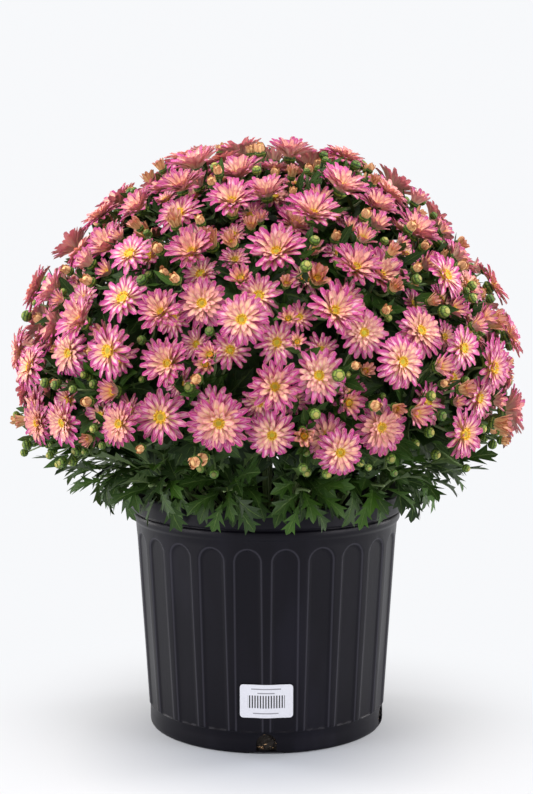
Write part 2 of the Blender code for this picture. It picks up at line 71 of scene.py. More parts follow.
# %% Camera
CAMERA_PLACE = (0.0, -1.556, 0.488)
CAMERA_PITCH = 5.66
LENS = 69.6


def put_in_scene(name, data):
    """An object that carries some data, in the scene."""
    thing = bpy.data.objects.new(name, data)
    bpy.context.scene.collection.objects.link(thing)
    return thing


camera = put_in_scene("camera", bpy.data.cameras.new("camera"))
camera.data.sensor_width = 36.0
camera.data.lens = LENS
camera.location = CAMERA_PLACE
camera.rotation_euler = (math.radians(90.0 - CAMERA_PITCH), 0.0, 0.0)
bpy.context.scene.camera = camera
bpy.context.scene.view_settings.view_transform = "Standard"
print("camera at", CAMERA_PLACE, "lens", LENS)

# %% [markdown]
# ## Node helpers
# Every finish here is drawn by nodes. A Wire is the output of a node, and it can be added up,
# multiplied, faded and blended: each such step adds one node to the tree, so that a finish reads
# like a sum. Colours are given as the eye reads them on a screen, 0 to 255, and turned into the
# linear values that the shader wants.

# %% Colours and sockets
def tone(red, green, blue):
    """A screen colour as linear red, green, blue and alpha."""
    linear = []
    for value in (red, green, blue):
        value /= 255
        linear.append(value / 12.92 if value <= 0.04045 else ((value + 0.055) / 1.055) ** 2.4)
    return (*linear, 1.0)


def plug(socket, value):
    """Wires another node to this socket, or sets it to a number or colour."""
    if isinstance(value, Wire):
        socket.id_data.links.new(value.socket, socket)
    else:
        socket.default_value = value


def wired(node, inputs, output=0):
    """Wires or sets some inputs of a node and gives one of its outputs."""
    for label, value in inputs.items():
        plug(node.inputs[label], value)
    return Wire(node.outputs[output])


print("half-way grey on a screen is", round(tone(128, 128, 128)[0], 3), "to the shader")


# %% Sums, fades and patterns
class Wire:
    """The output of a node. Each step on it adds a node to the same tree."""

    def __init__(self, socket):
        self.socket = socket

    def node(self, kind):
        return self.socket.id_data.nodes.new("ShaderNode" + kind)

    def math(self, operation, *others, clamp=False):
        made = self.node("Math")
        made.operation = operation
        made.use_clamp = clamp
        return wired(made, dict(enumerate((self, *others))))

    def __add__(self, other):
        return self.math("ADD", other)

    def __sub__(self, other):
        return self.math("SUBTRACT", other)

    def __mul__(self, other):
        return self.math("MULTIPLY", other)

    def above(self, level):
        return self.math("GREATER_THAN", level)

    def size(self):
        return self.math("ABSOLUTE")

    def most(self, other):
        return self.math("MAXIMUM", other)

    def fade(self, start, end, step="SMOOTHSTEP"):
        """0 at start and 1 at end, with a smooth step between."""
        made = self.node("MapRange")
        made.interpolation_type = step
        return wired(made, {"Value": self, "From Min": start, "From Max": end})

    def blend(self, low, high):
        """The colour low where this is 0 and high where it is 1."""
        made = self.node("Mix")
        made.data_type = "RGBA"
        return wired(made, {0: self, 6: low, 7: high}, 2)

    def grain(self, scale, detail=2.0, stretch=(1.0, 1.0, 1.0)):
        """Noise at this place, drawn out along an axis where stretch is small."""
        place = wired(self.node("Mapping"), {"Vector": self, "Scale": stretch})
        return wired(self.node("TexNoise"), {"Vector": place, "Scale": scale, "Detail": detail})

    def cells(self, scale):
        """How far this place lies from the middle of its Voronoi cell."""
        return wired(self.node("TexVoronoi"), {"Vector": self, "Scale": scale}, "Distance")

    def axes(self):
        parts = self.node("SeparateXYZ")
        plug(parts.inputs[0], self)
        return [Wire(output) for output in parts.outputs]

    def joined(self, y, z=0.0):
        return wired(self.node("CombineXYZ"), {0: self, 1: y, 2: z})

    def length(self):
        made = self.node("VectorMath")
        made.operation = "LENGTH"
        return wired(made, {0: self}, "Value")


print("steps of a Wire:", [name for name in vars(Wire) if not name.startswith("_")])


# %% Materials
def object_place(tree):
    return Wire(tree.nodes.new("ShaderNodeTexCoord").outputs["Object"])


def new_paint(name):
    """An empty material and its node tree."""
    paint = bpy.data.materials.new(name)
    paint.use_nodes = True
    return paint, paint.node_tree


def finished(paint, colour, roughness, height, strength, distance, levels=()):
    """Gives a material its colour and roughness, and raises its surface by a height."""
    tree = paint.node_tree
    bump = {"Height": height, "Strength": strength, "Distance": distance}
    raised_surface = wired(tree.nodes.new("ShaderNodeBump"), bump)
    wired(tree.nodes["Principled BSDF"], {
        "Base Color": colour, "Roughness": roughness, "Normal": raised_surface, **dict(levels)})
    return paint


def show_mixed(tree, share, low, high, output):
    """Sends a mix of two shaders to the tree's output node."""
    mixed = wired(tree.nodes.new("ShaderNodeMixShader"), {0: share, 1: low, 2: high})
    plug(tree.nodes[output].inputs["Surface"], mixed)


print("materials before the first finish:", len(bpy.data.materials))

# %% [markdown]
# ## The studio
# A pale floor that meets a pale surround gives the plain white background. One large soft lamp
# over the plant models the petals and lets the dome shade the floor evenly all round the pot. Two
# tall lamps behind the plant draw the light edges on the sides of the black pot, and two wide ones
# in front of it, to the left and right, leave its middle dark between them. The camera sees
# the surround brighter than it shines, so that the background stays white while the shadows
# between the leaves stay deep. The floor fades into the surround, which hides the horizon.
# The floor is also painted darker just in front of the pot: a painted shadow.

# %% Floor, surround and lamps
FLOOR_TONE = (0.66, 0.67, 0.71, 1.0)
# The darker floor tone of a painted shadow in front of the pot.
SHADED_TONE = (0.49, 0.52, 0.59, 1.0)
SURROUND_TONE = (0.935, 0.945, 0.965, 1.0)
SURROUND_SHINE = (1.0, 0.975, 0.94, 1.0)
SURROUND_LIGHT = 0.56
LAMP_TONE = (1.0, 0.975, 0.945)
# Place, what it looks at, width, height, watts
LAMPS = {
    "key_lamp": ((-0.10, -0.55, 2.35), (0, 0, 0.35), 1.7, 1.7, 46),
    "left_edge_lamp": ((-1.5, 0.7, 0.7), (0, 0, 0.2), 0.5, 1.4, 13),
    "right_edge_lamp": ((1.5, 0.6, 0.7), (0, 0, 0.2), 0.5, 1.4, 14),
    "left_front_lamp": ((-1.7, -0.85, 0.55), (0, 0, 0.2), 1.1, 1.2, 25),
    "right_front_lamp": ((1.7, -0.85, 0.55), (0, 0, 0.2), 1.1, 1.2, 22),
}


def soft_lamp(name, place, goal, wide, tall, watts):
    """A rectangular studio lamp at place that looks at goal."""
    lamp = put_in_scene(name, bpy.data.lights.new(name, "AREA"))
    lamp.data.shape = "RECTANGLE"
    lamp.data.size = wide
    lamp.data.size_y = tall
    lamp.data.energy = watts
    lamp.data.color = LAMP_TONE
    lamp.location = place
    lamp.rotation_euler = (Vector(goal) - Vector(place)).to_track_quat("-Z", "Y").to_euler()


def floor_finish():
    """Pale paint with a painted shadow just in front of the pot; further out it turns into the
    surround's own light.
    """
    paint, tree = new_paint("pale_floor")
    x, y, _ = object_place(tree).axes()
    far = x.joined(y + 0.10).length()
    # Painted shadow: the floor takes the darker tone close in front of the pot's foot.
    ground = far.fade(0.05, 0.20, "LINEAR").blend(SHADED_TONE, FLOOR_TONE)
    shader = wired(tree.nodes["Principled BSDF"], {"Base Color": ground, "Roughness": 0.85})
    glow = wired(tree.nodes.new("ShaderNodeEmission"), {"Color": SURROUND_TONE})
    show_mixed(tree, far.fade(0.02, 0.44), shader, glow, "Material Output")
    return paint


def make_surround():
    """A world that lights the plant softly and shows white behind it."""
    world = bpy.data.worlds.new("surround")
    world.use_nodes = True
    tree = world.node_tree
    seen = wired(tree.nodes["Background"], {"Color": SURROUND_TONE})
    light = wired(tree.nodes.new("ShaderNodeBackground"),
                  {"Color": SURROUND_SHINE, "Strength": SURROUND_LIGHT})
    to_camera = Wire(tree.nodes.new("ShaderNodeLightPath").outputs["Is Camera Ray"])
    show_mixed(tree, to_camera, light, seen, "World Output")
    bpy.context.scene.world = world


def mesh_from(bm, name):
    mesh = bpy.data.meshes.new(name)
    bm.to_mesh(mesh)
    bm.free()
    return mesh


def make_floor():
    bm = bmesh.new()
    bmesh.ops.create_circle(bm, cap_ends=True, segments=64, radius=30.0)
    floor = put_in_scene("floor", mesh_from(bm, "floor"))
    floor.data.materials.append(floor_finish())
    floor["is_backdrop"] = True


make_floor()
make_surround()
for name, lamp in LAMPS.items():
    soft_lamp(name, *lamp)
print("studio: a floor, a pale surround and lamps:", len(LAMPS))

# %% [markdown]
# ## Where everything grows
# The measured model drops its flowers on the dome by a seeded rule. The same rule, with the same
# seed and the same order of draws, gives each flower's middle, heading and size again here, so
# that each fine flower sits where its plain solid sits.

# %% The dome and its rule
CROWN = Vector((0, 0, 0.165))
DOME_MIDDLE = 0.345
DOME_RADIUS = 0.256
DOME_RISE = 0.250
STEM_LOWEST = math.radians(42)
SOIL_CROWN = 0.2085
SMALLEST_LARGE = 0.0220
TIERS = ((0.004, 0.008), (0.016, 0.020))
# Kind, count, least and greatest radius, depths under the dome's surface, how much room a
# difference in depth gives, and the cosine from the top of the lowest place
FIRST_FLUSH = (
    ("open", 134, SMALLEST_LARGE, 0.0278, TIERS, 2.8, -0.15),
    ("cup", 62, 0.0125, 0.0165, TIERS, 2.8, -0.15),
    ("bud", 28, 0.0048, 0.0062, TIERS, 2.8, -0.15),
)
FLOWER_GAP = 0.0006
TWIG_ROOM = 0.8
FLOWER_TILT = 0.16
FLOWER_LIFT = (-0.6, 1.2)
WHORL_ROWS = ((0, 1), (30, 6), (60, 11), (90, 13))
WHORL_WANDER = math.radians(3)
WHORL_INSET = 0.042
WHORL_REACH = 0.058
WHORL_LEAST_REACH = 0.018
WHORL_LOWEST = 0.284
WHORL_DEPTH = 0.028
TWIG_SPREAD = 0.30
TWIG_DEPTH = 0.004


def polar(radius, angle, height):
    """A point by its distance from the pot's axis; angle 0 faces the front, -Y."""
    return Vector((radius * math.sin(angle), -radius * math.cos(angle), height))


def across_axes(way):
    """Two unit vectors square to a direction and to each other."""
    helper = Vector((0, 0, 1)) if abs(way.z) < 0.9 else Vector((0, 1, 0))
    side = way.cross(helper).normalized()
    return side, way.cross(side).normalized()


def dome_point(lean, turn, inset):
    """A point under the dome's surface and the way out there; lean is the cosine from the top."""
    out = polar(math.sqrt(1 - lean * lean), turn, lean)
    radius = DOME_RADIUS - inset
    return Vector((radius * out.x, radius * out.y, DOME_MIDDLE + (DOME_RISE - inset) * out.z)), out


def raised(way):
    """The same heading, no flatter than a stem can be that clears the rim."""
    if way.z >= math.sin(STEM_LOWEST):
        return way
    scale = math.cos(STEM_LOWEST) / math.hypot(way.x, way.y)
    return Vector((way.x * scale, way.y * scale, math.sin(STEM_LOWEST)))


print("top of the dome in mm:", round((DOME_MIDDLE + DOME_RISE) * 1000))


# %% Sprays: one whorl of leaves for each flowering stem
def whorl_walls(spray):
    """The planes half-way to each neighbour, and the lowest level that leaves may reach."""
    walls = []
    for other in sprays:
        if other is not spray:
            middle = (other["middle"] + spray["middle"]) / 2
            walls.append((middle, (other["middle"] - spray["middle"]).normalized()))
    walls.append((Vector((0, 0, WHORL_LOWEST)), Vector((0, 0, -1))))
    return walls


def lay_out_sprays(draw):
    """The flowering stems in rows: where each whorl sits, the way out there, its stem's way."""
    for row, (down, count) in enumerate(WHORL_ROWS):
        for k in range(count):
            turn = 2 * math.pi * (k + 0.5 * (row % 2)) / count + draw.uniform(-1, 1) * WHORL_WANDER
            lean = math.cos(math.radians(down) + draw.uniform(-1, 1) * WHORL_WANDER * (down > 0))
            middle, out = dome_point(lean, turn, WHORL_INSET)
            way = raised((middle - CROWN).normalized())
            sprays.append({"middle": middle, "out": out, "way": way, "flowers": []})
    for spray in sprays:
        spray["walls"] = whorl_walls(spray)


def patch_reach(spray, way):
    """How far a leaf may run from the whorl's middle in one direction."""
    reach = WHORL_REACH
    for point, normal in spray["walls"]:
        along = way.dot(normal)
        if along > 0.05:
            reach = min(reach, (point - spray["middle"]).dot(normal) / along)
    return max(reach, WHORL_LEAST_REACH)


def twig_root(spray, goal):
    """Where a twig leaves the whorl: part of the way out towards what it carries."""
    across = goal - spray["middle"]
    across -= spray["out"] * across.dot(spray["out"])
    return spray["middle"] + across * TWIG_SPREAD - spray["out"] * TWIG_DEPTH


sprays = []
layout_draw = random.Random(41)
lay_out_sprays(layout_draw)
print("sprays:", len(sprays))


# %% Flowers: the same draws as the measured model makes
def clipped(value):
    """The value, held between 0 and 1."""
    return min(max(value, 0.0), 1.0)


def distance_to_line(point, start, end):
    along = end - start
    share = clipped((point - start).dot(along) / along.length_squared)
    return (point - start - along * share).length


def has_room(flower, weight, clearance):
    """Whether a flower and its twig keep clear of all the others and of their twigs."""
    for other in flowers:
        apart = (other["spot"] - flower["spot"]).length
        deeper = (other["inset"] - flower["inset"]) * weight
        if math.hypot(apart, deeper) < other["radius"] + flower["radius"] + FLOWER_GAP:
            return False
        if other["spray"] is flower["spray"]:
            continue
        for one, twig in ((other, flower), (flower, other)):
            room = one["radius"] * TWIG_ROOM + clearance
            if distance_to_line(one["place"], twig["root"], twig["place"]) < room:
                return False
    return True


def try_flower(draw, kind, radius, tiers, lowest):
    lean = 1 - draw.random() * (1 - lowest)
    turn = draw.uniform(0, 2 * math.pi)
    inset = draw.uniform(*draw.choice(tiers))
    place, out = dome_point(lean, turn, inset)
    spray = min(sprays, key=lambda each: (each["middle"] - place).length)
    return {"kind": kind, "radius": radius, "place": place, "inset": inset, "spray": spray,
            "spot": dome_point(lean, turn, 0)[0], "root": twig_root(spray, place), "out": out}


def keep_flower(draw, flower):
    tilt = Vector((draw.uniform(-1, 1), draw.uniform(-1, 1), draw.uniform(*FLOWER_LIFT)))
    flower["facing"] = (flower["out"] + tilt * FLOWER_TILT).normalized()
    flower["turn"] = draw.uniform(0, math.pi)
    flowers.append(flower)
    flower["spray"]["flowers"].append(flower)


def drop_flowers(draw, flush, tries, clearance):
    """Drops flowers on the dome, the large ones first, each on the nearest spray."""
    for kind, count, least, greatest, tiers, weight, lowest in flush:
        before = len(flowers)
        sizes = [draw.uniform(least, greatest) for _ in range(count)]
        for radius in sorted(sizes, reverse=True):
            for _ in range(tries):
                flower = try_flower(draw, kind, radius, tiers, lowest)
                if has_room(flower, weight, clearance):
                    keep_flower(draw, flower)
                    break
        print("placed:", len(flowers) - before, kind)


flowers = []
drop_flowers(layout_draw, FIRST_FLUSH, 1500, 0.003)

# %% [markdown]
# ## The small ones in the gaps
# A real plant always has a second flush coming: small blooms a little deeper, tan half-open heads,
# and many green buds. They are too many and too small for the measured solids. A generator of
# their own fills the gaps, so that the large flowers keep their places. Last, buds that hide the
# eye of a bloom move aside, and the flowers near the top move in a little, which rounds the dome.

# %% Second flush of blooms and buds
SECOND_FLUSH = (
    ("open", 160, 0.0150, 0.0230, ((0.017, 0.036),), 2.3, -0.12),
    ("cup", 84, 0.0090, 0.0135, ((0.001, 0.010), (0.014, 0.026)), 2.0, -0.15),
    ("tan_bud", 120, 0.0055, 0.0080, ((0.002, 0.010), (0.012, 0.022)), 1.4, -0.18),
    ("bud", 210, 0.0034, 0.0054, ((0.002, 0.010), (0.012, 0.030)), 1.3, -0.26),
)
# In radii of the bloom: how near a bud may hang, the eye it may not cover, where it goes
EYE_REACH, EYE_RADIUS, EYE_CLEAR = 1.3, 0.5, 0.8
SHOULDER_FOOT = 0.44
SHOULDER_BLEND = 0.08
SHOULDER_SHARE = 0.07


def move_off_eyes():
    """Moves each bud that hangs right over the eye of a bloom out over its petals."""
    buds, blooms = ([each for each in flowers if each["kind"] == kind] for kind in ("bud", "open"))
    for bud in buds:
        for bloom in blooms:
            way = bud["place"] - bloom["place"]
            aside = way - bloom["facing"] * way.dot(bloom["facing"])
            radius = bloom["radius"]
            if way.length < radius * EYE_REACH and aside.length < radius * EYE_RADIUS:
                shift = aside.normalized() * (radius * EYE_CLEAR - aside.length)
                bud["place"] = bud["place"] + shift


def draw_in_shoulders():
    """Moves the flowers near the top a little nearer to the pot's axis."""
    for flower in flowers:
        place = flower["place"]
        share = clipped((place.z - SHOULDER_FOOT) / SHOULDER_BLEND)
        flower["place"] = Vector((*(place.xy * (1 - SHOULDER_SHARE * share)), place.z))


drop_flowers(random.Random(7), SECOND_FLUSH, 500, 0.0005)
move_off_eyes()
draw_in_shoulders()
print("flowers in all:", len(flowers))

# %% [markdown]
# ## A sheet of tiles for all the petals and leaves
# Thousands of petals can't each have their own picture. Their UV map is a sheet of five by five
# tiles: the row says what the surface is, such as the top or back of a petal, and the column
# gives its tint. One node group turns a place on the sheet into the place across and along the
# petal, and a second group draws fine streaks along it.

# %% Groups: place on the tile, and streaks
TILES = 5
TILE_MARGIN = 0.05
TILE_SPAN = 1 - 2 * TILE_MARGIN
SHEET = "OFBake"
PLACE = ("Across", "Along", "Tint", "Row")
STREAK_INPUTS = (*PLACE, "Count", "Length")


def new_group(name, takes, gives, kind="NodeSocketFloat"):
    """A node group, the Wires that come into it by name, and the sockets that it fills."""
    group = bpy.data.node_groups.new(name, "ShaderNodeTree")
    for label in takes:
        group.interface.new_socket(name=label, in_out="INPUT", socket_type=kind)
    for label in gives:
        group.interface.new_socket(name=label, in_out="OUTPUT", socket_type="NodeSocketFloat")
    outputs = group.nodes.new("NodeGroupInput").outputs
    given = [Wire(outputs[label]) for label in takes]
    return group, given, group.nodes.new("NodeGroupOutput").inputs


def make_tile_group():
    group, (sheet,), wanted = new_group("tile_place", ("Sheet",), PLACE, "NodeSocketVector")
    x, y, _ = sheet.axes()
    for place, inside, step, share in ((x, "Across", "Tint", 1 / (TILES - 1)),
                                       (y, "Along", "Row", 1.0)):
        scaled = place * TILES
        plug(wanted[inside], (scaled.math("FRACT") - TILE_MARGIN).math("DIVIDE", TILE_SPAN))
        plug(wanted[step], scaled.math("FLOOR") * share)
    return group


def make_streak_group():
    group, given, wanted = new_group("streaks", STREAK_INPUTS, ("Streaks",))
    across, along, tint, row, count, length = given
    spot = (across * count).joined(along * length, tint * 31.0 + row)
    plug(wanted["Streaks"], spot.grain(1.0, 1.5))
    return group


tile_group = make_tile_group()
streak_group = make_streak_group()


def place_on_tile(tree):
    """The four values that the tile group reads from the sheet."""
    sheet = tree.nodes.new("ShaderNodeUVMap")
    sheet.uv_map = SHEET
    made = tree.nodes.new("ShaderNodeGroup")
    made.node_tree = tile_group
    wired(made, {"Sheet": Wire(sheet.outputs["UV"])})
    return [Wire(made.outputs[label]) for label in PLACE]


def streaks_on_tile(place, count, length):
    made = place[0].node("Group")
    made.node_tree = streak_group
    return wired(made, dict(zip(STREAK_INPUTS, (*place, count, length))))


def from_middle(across):
    """0 on the middle line of a petal or leaf, 1 at its edges."""
    return (across * 2.0 - 1.0).size()


print("node groups:", tile_group.name, streak_group.name)

# %% [markdown]
# ## Petal finish
# A petal is cream yellow at its root, peach and then blush along the middle, and deep magenta in
# streaks along its edges and on its tip. On the darker tints the magenta also fills the middle and
# leaves a pale rim. The backs are a dull peach pink, and the closed heads show tan backs with a
# little rose. One material draws all four by tile row.

# %% Petals
OUTER, INNER, BACK, CLOSED = range(4)


def rosy_share(place):
    """How magenta a petal is at each place, and its fine streaks."""
    across, along, tint, _ = place
    edge = from_middle(across)
    streaks = streaks_on_tile(place, 9.0, 1.2)
    wander = streaks - 0.5
    worn = wander * 1.1 + edge
    sides = worn.fade(0.36, 0.62) * along.fade(0.15, 0.46)
    tip = (wander * 0.8 + along).fade(0.62, 0.92)
    deep = tint.fade(0.50, 0.90) * 0.7
    core = worn.fade(0.62, 0.34) * along.fade(0.42, 0.80)
    rim = edge.fade(0.80, 0.98) * deep
    rosy = sides.most(tip).most(core * deep) * (rim * -0.6 + 1.0)
    return rosy.math("MULTIPLY", tint * 0.10 + 0.90, clamp=True), streaks


def petal_finish():
    paint, tree = new_paint("petal_pink")
    place = place_on_tile(tree)
    _, along, tint, row = place
    rosy, streaks = rosy_share(place)
    magenta = tint.blend(tone(196, 34, 142), tone(160, 8, 104))
    blush = tint.blend(tone(247, 201, 214), tone(239, 178, 200))
    peach = tint.blend(tone(250, 214, 178), tone(243, 196, 156))
    root = along.fade(0.12, 0.34).blend(tone(248, 214, 116), peach)
    inner_root = along.fade(0.16, 0.50).blend(tone(252, 222, 104), peach)
    back = streaks.blend(tone(228, 170, 146), tone(249, 212, 190))
    closed = streaks.fade(0.34, 0.62).blend(tone(166, 108, 56), tone(232, 190, 132))
    colour = rosy.blend(along.fade(0.38, 0.76).blend(root, blush), magenta)
    for level, share, pale, rose in ((INNER, 0.62, inner_root, tone(200, 52, 132)),
                                     (BACK, 0.46, back, tone(212, 90, 140)),
                                     (CLOSED, 0.26, closed, tone(206, 88, 106))):
        colour = row.above(level - 0.5).blend(colour, (rosy * share).blend(pale, rose))
    return finished(paint, colour, streaks * 0.2 + 0.52, streaks, 0.45, 0.0006)


petal_paint = petal_finish()
print("nodes in the petal finish:", len(petal_paint.node_tree.nodes))

# %% [markdown]
# ## Disc finish
# The eye of a bloom is a low cushion of tiny florets, bright yellow round the rim and greenish
# brown in the middle, where they are still closed. Its tile is a round plan seen from above, and
# a Voronoi pattern gives the florets.

# %% Yellow disc
DISC = 4


def disc_finish():
    paint, tree = new_paint("yellow_disc")
    across, along, tint, _ = place_on_tile(tree)
    x, y = across - 0.5, along - 0.5
    floret = x.joined(y, tint).cells(11.0)
    young = x.joined(y).length().fade(0.27, 0.12) * 0.8
    heart = tint.blend(tone(176, 178, 50), tone(134, 104, 30))
    yellow = floret.fade(0.15, 0.7).blend(tone(255, 228, 76), tone(232, 176, 34))
    colour = young.blend(yellow, heart)
    return finished(paint, colour, floret * 0.3 + 0.5, floret * -1.0 + 1.0, 0.8, 0.0008)


flower_paints = (petal_paint, disc_finish())
print("flower finishes:", [paint.name for paint in flower_paints])

# %% [markdown]
# ## Leaf, stalk and bud finishes
# The leaves are a dark, slightly shiny green with a paler midrib and side veins, duller and
# greyer behind. Stalks are pale green with fine lengthwise ribs. Buds are wrapped in bracts, with
# painted shade in the seams between them, each tier painted from shade at its foot to light at its
# top edge, and yellow green towards the top. The same streaks that grain the petals mottle the
# leaves and rib the stalks, at other counts.

# %% Leaves
LEAF_TOP, LEAF_BACK, STALK, BUD = range(4)


def from_line(value):
    """How far a repeating value lies from the middle of its step, 0 to 0.5."""
    return (value.math("FRACT") - 0.5).size()


def leaf_finish():
    paint, tree = new_paint("leaf_green")
    place = place_on_tile(tree)
    across, along, tint, row = place
    edge = from_middle(across)
    mottle = streaks_on_tile(place, 5.0, 7.0)
    veins = from_line(edge * -1.5 + along * 6.5).fade(0.07, 0.02) * edge.fade(1.0, 0.5)
    ribs = edge.fade(0.13, 0.03).most(veins * 0.55)
    deep = tint.blend(tone(15, 34, 7), tone(44, 80, 18))
    green = mottle.blend(deep, tint.blend(tone(28, 54, 12), tone(70, 108, 28)))
    top = (ribs * 0.42).blend(green, tone(102, 128, 62))
    back = ribs.blend(tint.blend(tone(42, 60, 28), tone(82, 106, 50)), tone(108, 128, 70))
    colour = row.above(LEAF_BACK - 0.5).blend(top, back)
    return finished(paint, colour, mottle * 0.25 + 0.42, ribs * -1.0 + mottle * 0.5, 0.5, 0.0010,
                    {"Specular IOR Level": 0.28})


leaf_paint = leaf_finish()
print("nodes in the leaf finish:", len(leaf_paint.node_tree.nodes))


# %% Stalks and buds
def stalk_finish():
    paint, tree = new_paint("stalk_green")
    place = place_on_tile(tree)
    ribs = streaks_on_tile(place, 16.0, 1.4)
    colour = ribs.blend(tone(66, 90, 42), place[2].blend(tone(98, 124, 66), tone(150, 166, 116)))
    return finished(paint, colour, ribs * 0.2 + 0.45, ribs, 0.4, 0.0005)


def bud_finish():
    paint, tree = new_paint("bud_green")
    place = place_on_tile(tree)
    across, along, tint, _ = place
    mottle = streaks_on_tile(place, 9.0, 5.0)
    tiers = along * 3.4
    inside = tiers.math("FRACT")
    sides = from_line(tiers.math("FLOOR") * 0.5 + across * 5.0).fade(0.38, 0.49)
    # Painted shade in the seams between the bracts and at the foot of each tier, under the bract
    # below.
    seam_shade = sides.most(inside.fade(0.16, 0.02))
    low = tint.blend(tone(36, 66, 14), tone(62, 96, 24))
    high = tint.blend(tone(92, 130, 36), tone(140, 160, 62))
    # Painted shade and light: each tier runs from the darker green at its foot to the lighter one
    # at its top edge.
    green = (mottle * 0.3 + inside).fade(0.35, 1.15).blend(low, high)
    green = (seam_shade * 0.75).blend(green, tone(20, 36, 10))
    crown = along.fade(0.88, 0.97) * (tint * 0.6 + 0.2)
    return finished(paint, crown.blend(green, tone(206, 192, 98)), mottle * 0.2 + 0.45,
                    inside - seam_shade, 0.7, 0.0008)


green_paints = (leaf_paint, stalk_finish(), bud_finish())
print("green finishes:", [paint.name for paint in green_paints])

# %% [markdown]
# ## One blade for petals and leaves
# A petal and a leaf are both thin blades. Each starts as a flat closed plate: a grid of a few
# faces and its copy behind, joined along a sharp rim. It gets its place on the sheet of tiles
# while it is still flat, and is then narrowed, bent along an arc and troughed along its middle.

# %% Flat plates
def new_sheeted():
    """An empty bmesh whose faces have a place on the sheet."""
    bm = bmesh.new()
    bm.loops.layers.uv.new(SHEET)
    return bm


def off_the_rim(vert):
    """Whether a point of a flat plate lies on its middle line, away from both ends."""
    return abs(vert.co.x) < 0.1 and 0.01 < vert.co.y < 0.99


def flat_plate(rows):
    """A closed plate, one unit long and wide; top faces lie on the sheet at 0-1, backs at 2-3."""
    bm = new_sheeted()
    sheet = bm.loops.layers.uv.active
    bmesh.ops.create_grid(bm, x_segments=2, y_segments=rows, size=0.5)
    bmesh.ops.translate(bm, verts=bm.verts[:], vec=(0, 0.5, 0))
    copied = bmesh.ops.duplicate(bm, geom=bm.faces[:])["geom"]
    backs = [part for part in copied if isinstance(part, bmesh.types.BMFace)]
    bmesh.ops.reverse_faces(bm, faces=backs)
    for vert in {vert for face in backs for vert in face.verts}:
        vert.co.z = -1.0 if off_the_rim(vert) else 0.0
    bmesh.ops.remove_doubles(bm, verts=bm.verts[:], dist=0.001)
    for face in bm.faces:
        face.smooth = True
        below = 2.0 * (face in backs)
        for loop in face.loops:
            loop[sheet].uv = (0.5 + loop.vert.co.x, loop.vert.co.y + below)
    for edge in bm.edges:
        edge.smooth = any(off_the_rim(vert) for vert in edge.verts)
    return bm


def tile_spot(column, row, across, along):
    """A place on the sheet, from the place across and along one of its tiles."""
    return ((column + TILE_MARGIN + across * TILE_SPAN) / TILES,
            (row + TILE_MARGIN + along * TILE_SPAN) / TILES)


def lay_on_tiles(bm, top_row, back_row, column=0):
    """Moves a plate's two sides to their rows of the sheet."""
    sheet = bm.loops.layers.uv.active
    for face in bm.faces:
        for loop in face.loops:
            across, along = loop[sheet].uv
            below = along > 1.5
            row = back_row if below else top_row
            loop[sheet].uv = tile_spot(column, row, across, along - 2.0 * below)


def bend_blade(bm, outline, width, tilts, trough, thickness):
    """Gives a plate its outline, its arc from one tilt to the other and its trough.

    outline has a (share of the width, how far its edge points lie ahead) for each row of points.
    """
    steps = len(outline) - 1
    start, end = (math.radians(tilt) for tilt in tilts)
    bend = (end - start) or 1e-5
    for vert in bm.verts:
        across = vert.co.x * 2
        share, ahead = outline[round(vert.co.y * steps)]
        tilt = start + bend * (vert.co.y + ahead * abs(across))
        forward = (math.sin(tilt) - math.sin(start)) / bend
        rise = (math.cos(start) - math.cos(tilt)) / bend
        up = Vector((0, -math.sin(tilt), math.cos(tilt)))
        lift = trough * width * across * across * share + vert.co.z * thickness
        sideways = Vector((across * share * width / 2, 0, 0))
        vert.co = Vector((0, forward, rise)) + up * lift + sideways


print("one tile takes", round(TILE_SPAN / TILES, 3), "of the sheet each way")

# %% [markdown]
# ## The blooms
# A chrysanthemum carries its petals in rounds: long flat ones outside, shorter and steeper ones
# towards the eye. Each round is described by one line of a plan: how many, how long, how wide,
# its tilt at root and tip. Each petal takes one of two neighbouring tints. A few seeded variants
# are enough, because every flower is also tinted, turned and tilted its own way. The middle of
# an open bloom is a cushion of florets, and that of a closed head a ball of packed petals.

# %% Middles of the blooms
def lay_plan(bm, row, middle, spread):
    """Lays a round thing on its tile as it is seen from above."""
    sheet = bm.loops.layers.uv.active
    for face in bm.faces:
        for loop in face.loops:
            x, y, _ = loop.vert.co
            loop[sheet].uv = ((0.5 + x * spread) / TILES, (row + middle + y * spread) / TILES)


def disc_mesh(radius, rise, base, florets):
    """A low cushion with a ring of open florets round it, laid on the disc's round tile."""
    bm = new_sheeted()
    bmesh.ops.create_uvsphere(bm, u_segments=8, v_segments=5, radius=1.0)
    bmesh.ops.scale(bm, vec=(radius, radius, rise), verts=bm.verts[:])
    bmesh.ops.translate(bm, vec=(0, 0, base), verts=bm.verts[:])
    for k in range(florets):
        turn = Matrix.Rotation(2 * math.pi * k / florets, 4, "Z")
        place = Matrix.Translation((0, radius * 0.82, base + rise * 0.75))
        bmesh.ops.create_cone(bm, cap_ends=True, segments=3, radius1=radius * 0.12,
                              radius2=radius * 0.28, depth=rise * 1.1,
                              matrix=turn @ place @ Matrix.Rotation(-0.5, 4, "X"))
    bmesh.ops.recalc_face_normals(bm, faces=bm.faces[:])
    lay_plan(bm, DISC, 0.5, TILE_SPAN / 2.4 / radius)
    for face in bm.faces:
        face.material_index = 1
    return mesh_from(bm, "disc")


def heart_mesh():
    """The packed petals inside a closed head: a ball that wears the finish of their backs."""
    bm = new_sheeted()
    bmesh.ops.create_uvsphere(bm, u_segments=8, v_segments=6, radius=0.66)
    bmesh.ops.translate(bm, vec=(0, 0, 0.16), verts=bm.verts[:])
    lay_plan(bm, CLOSED, 0.4, 0.5)
    return mesh_from(bm, "heart")


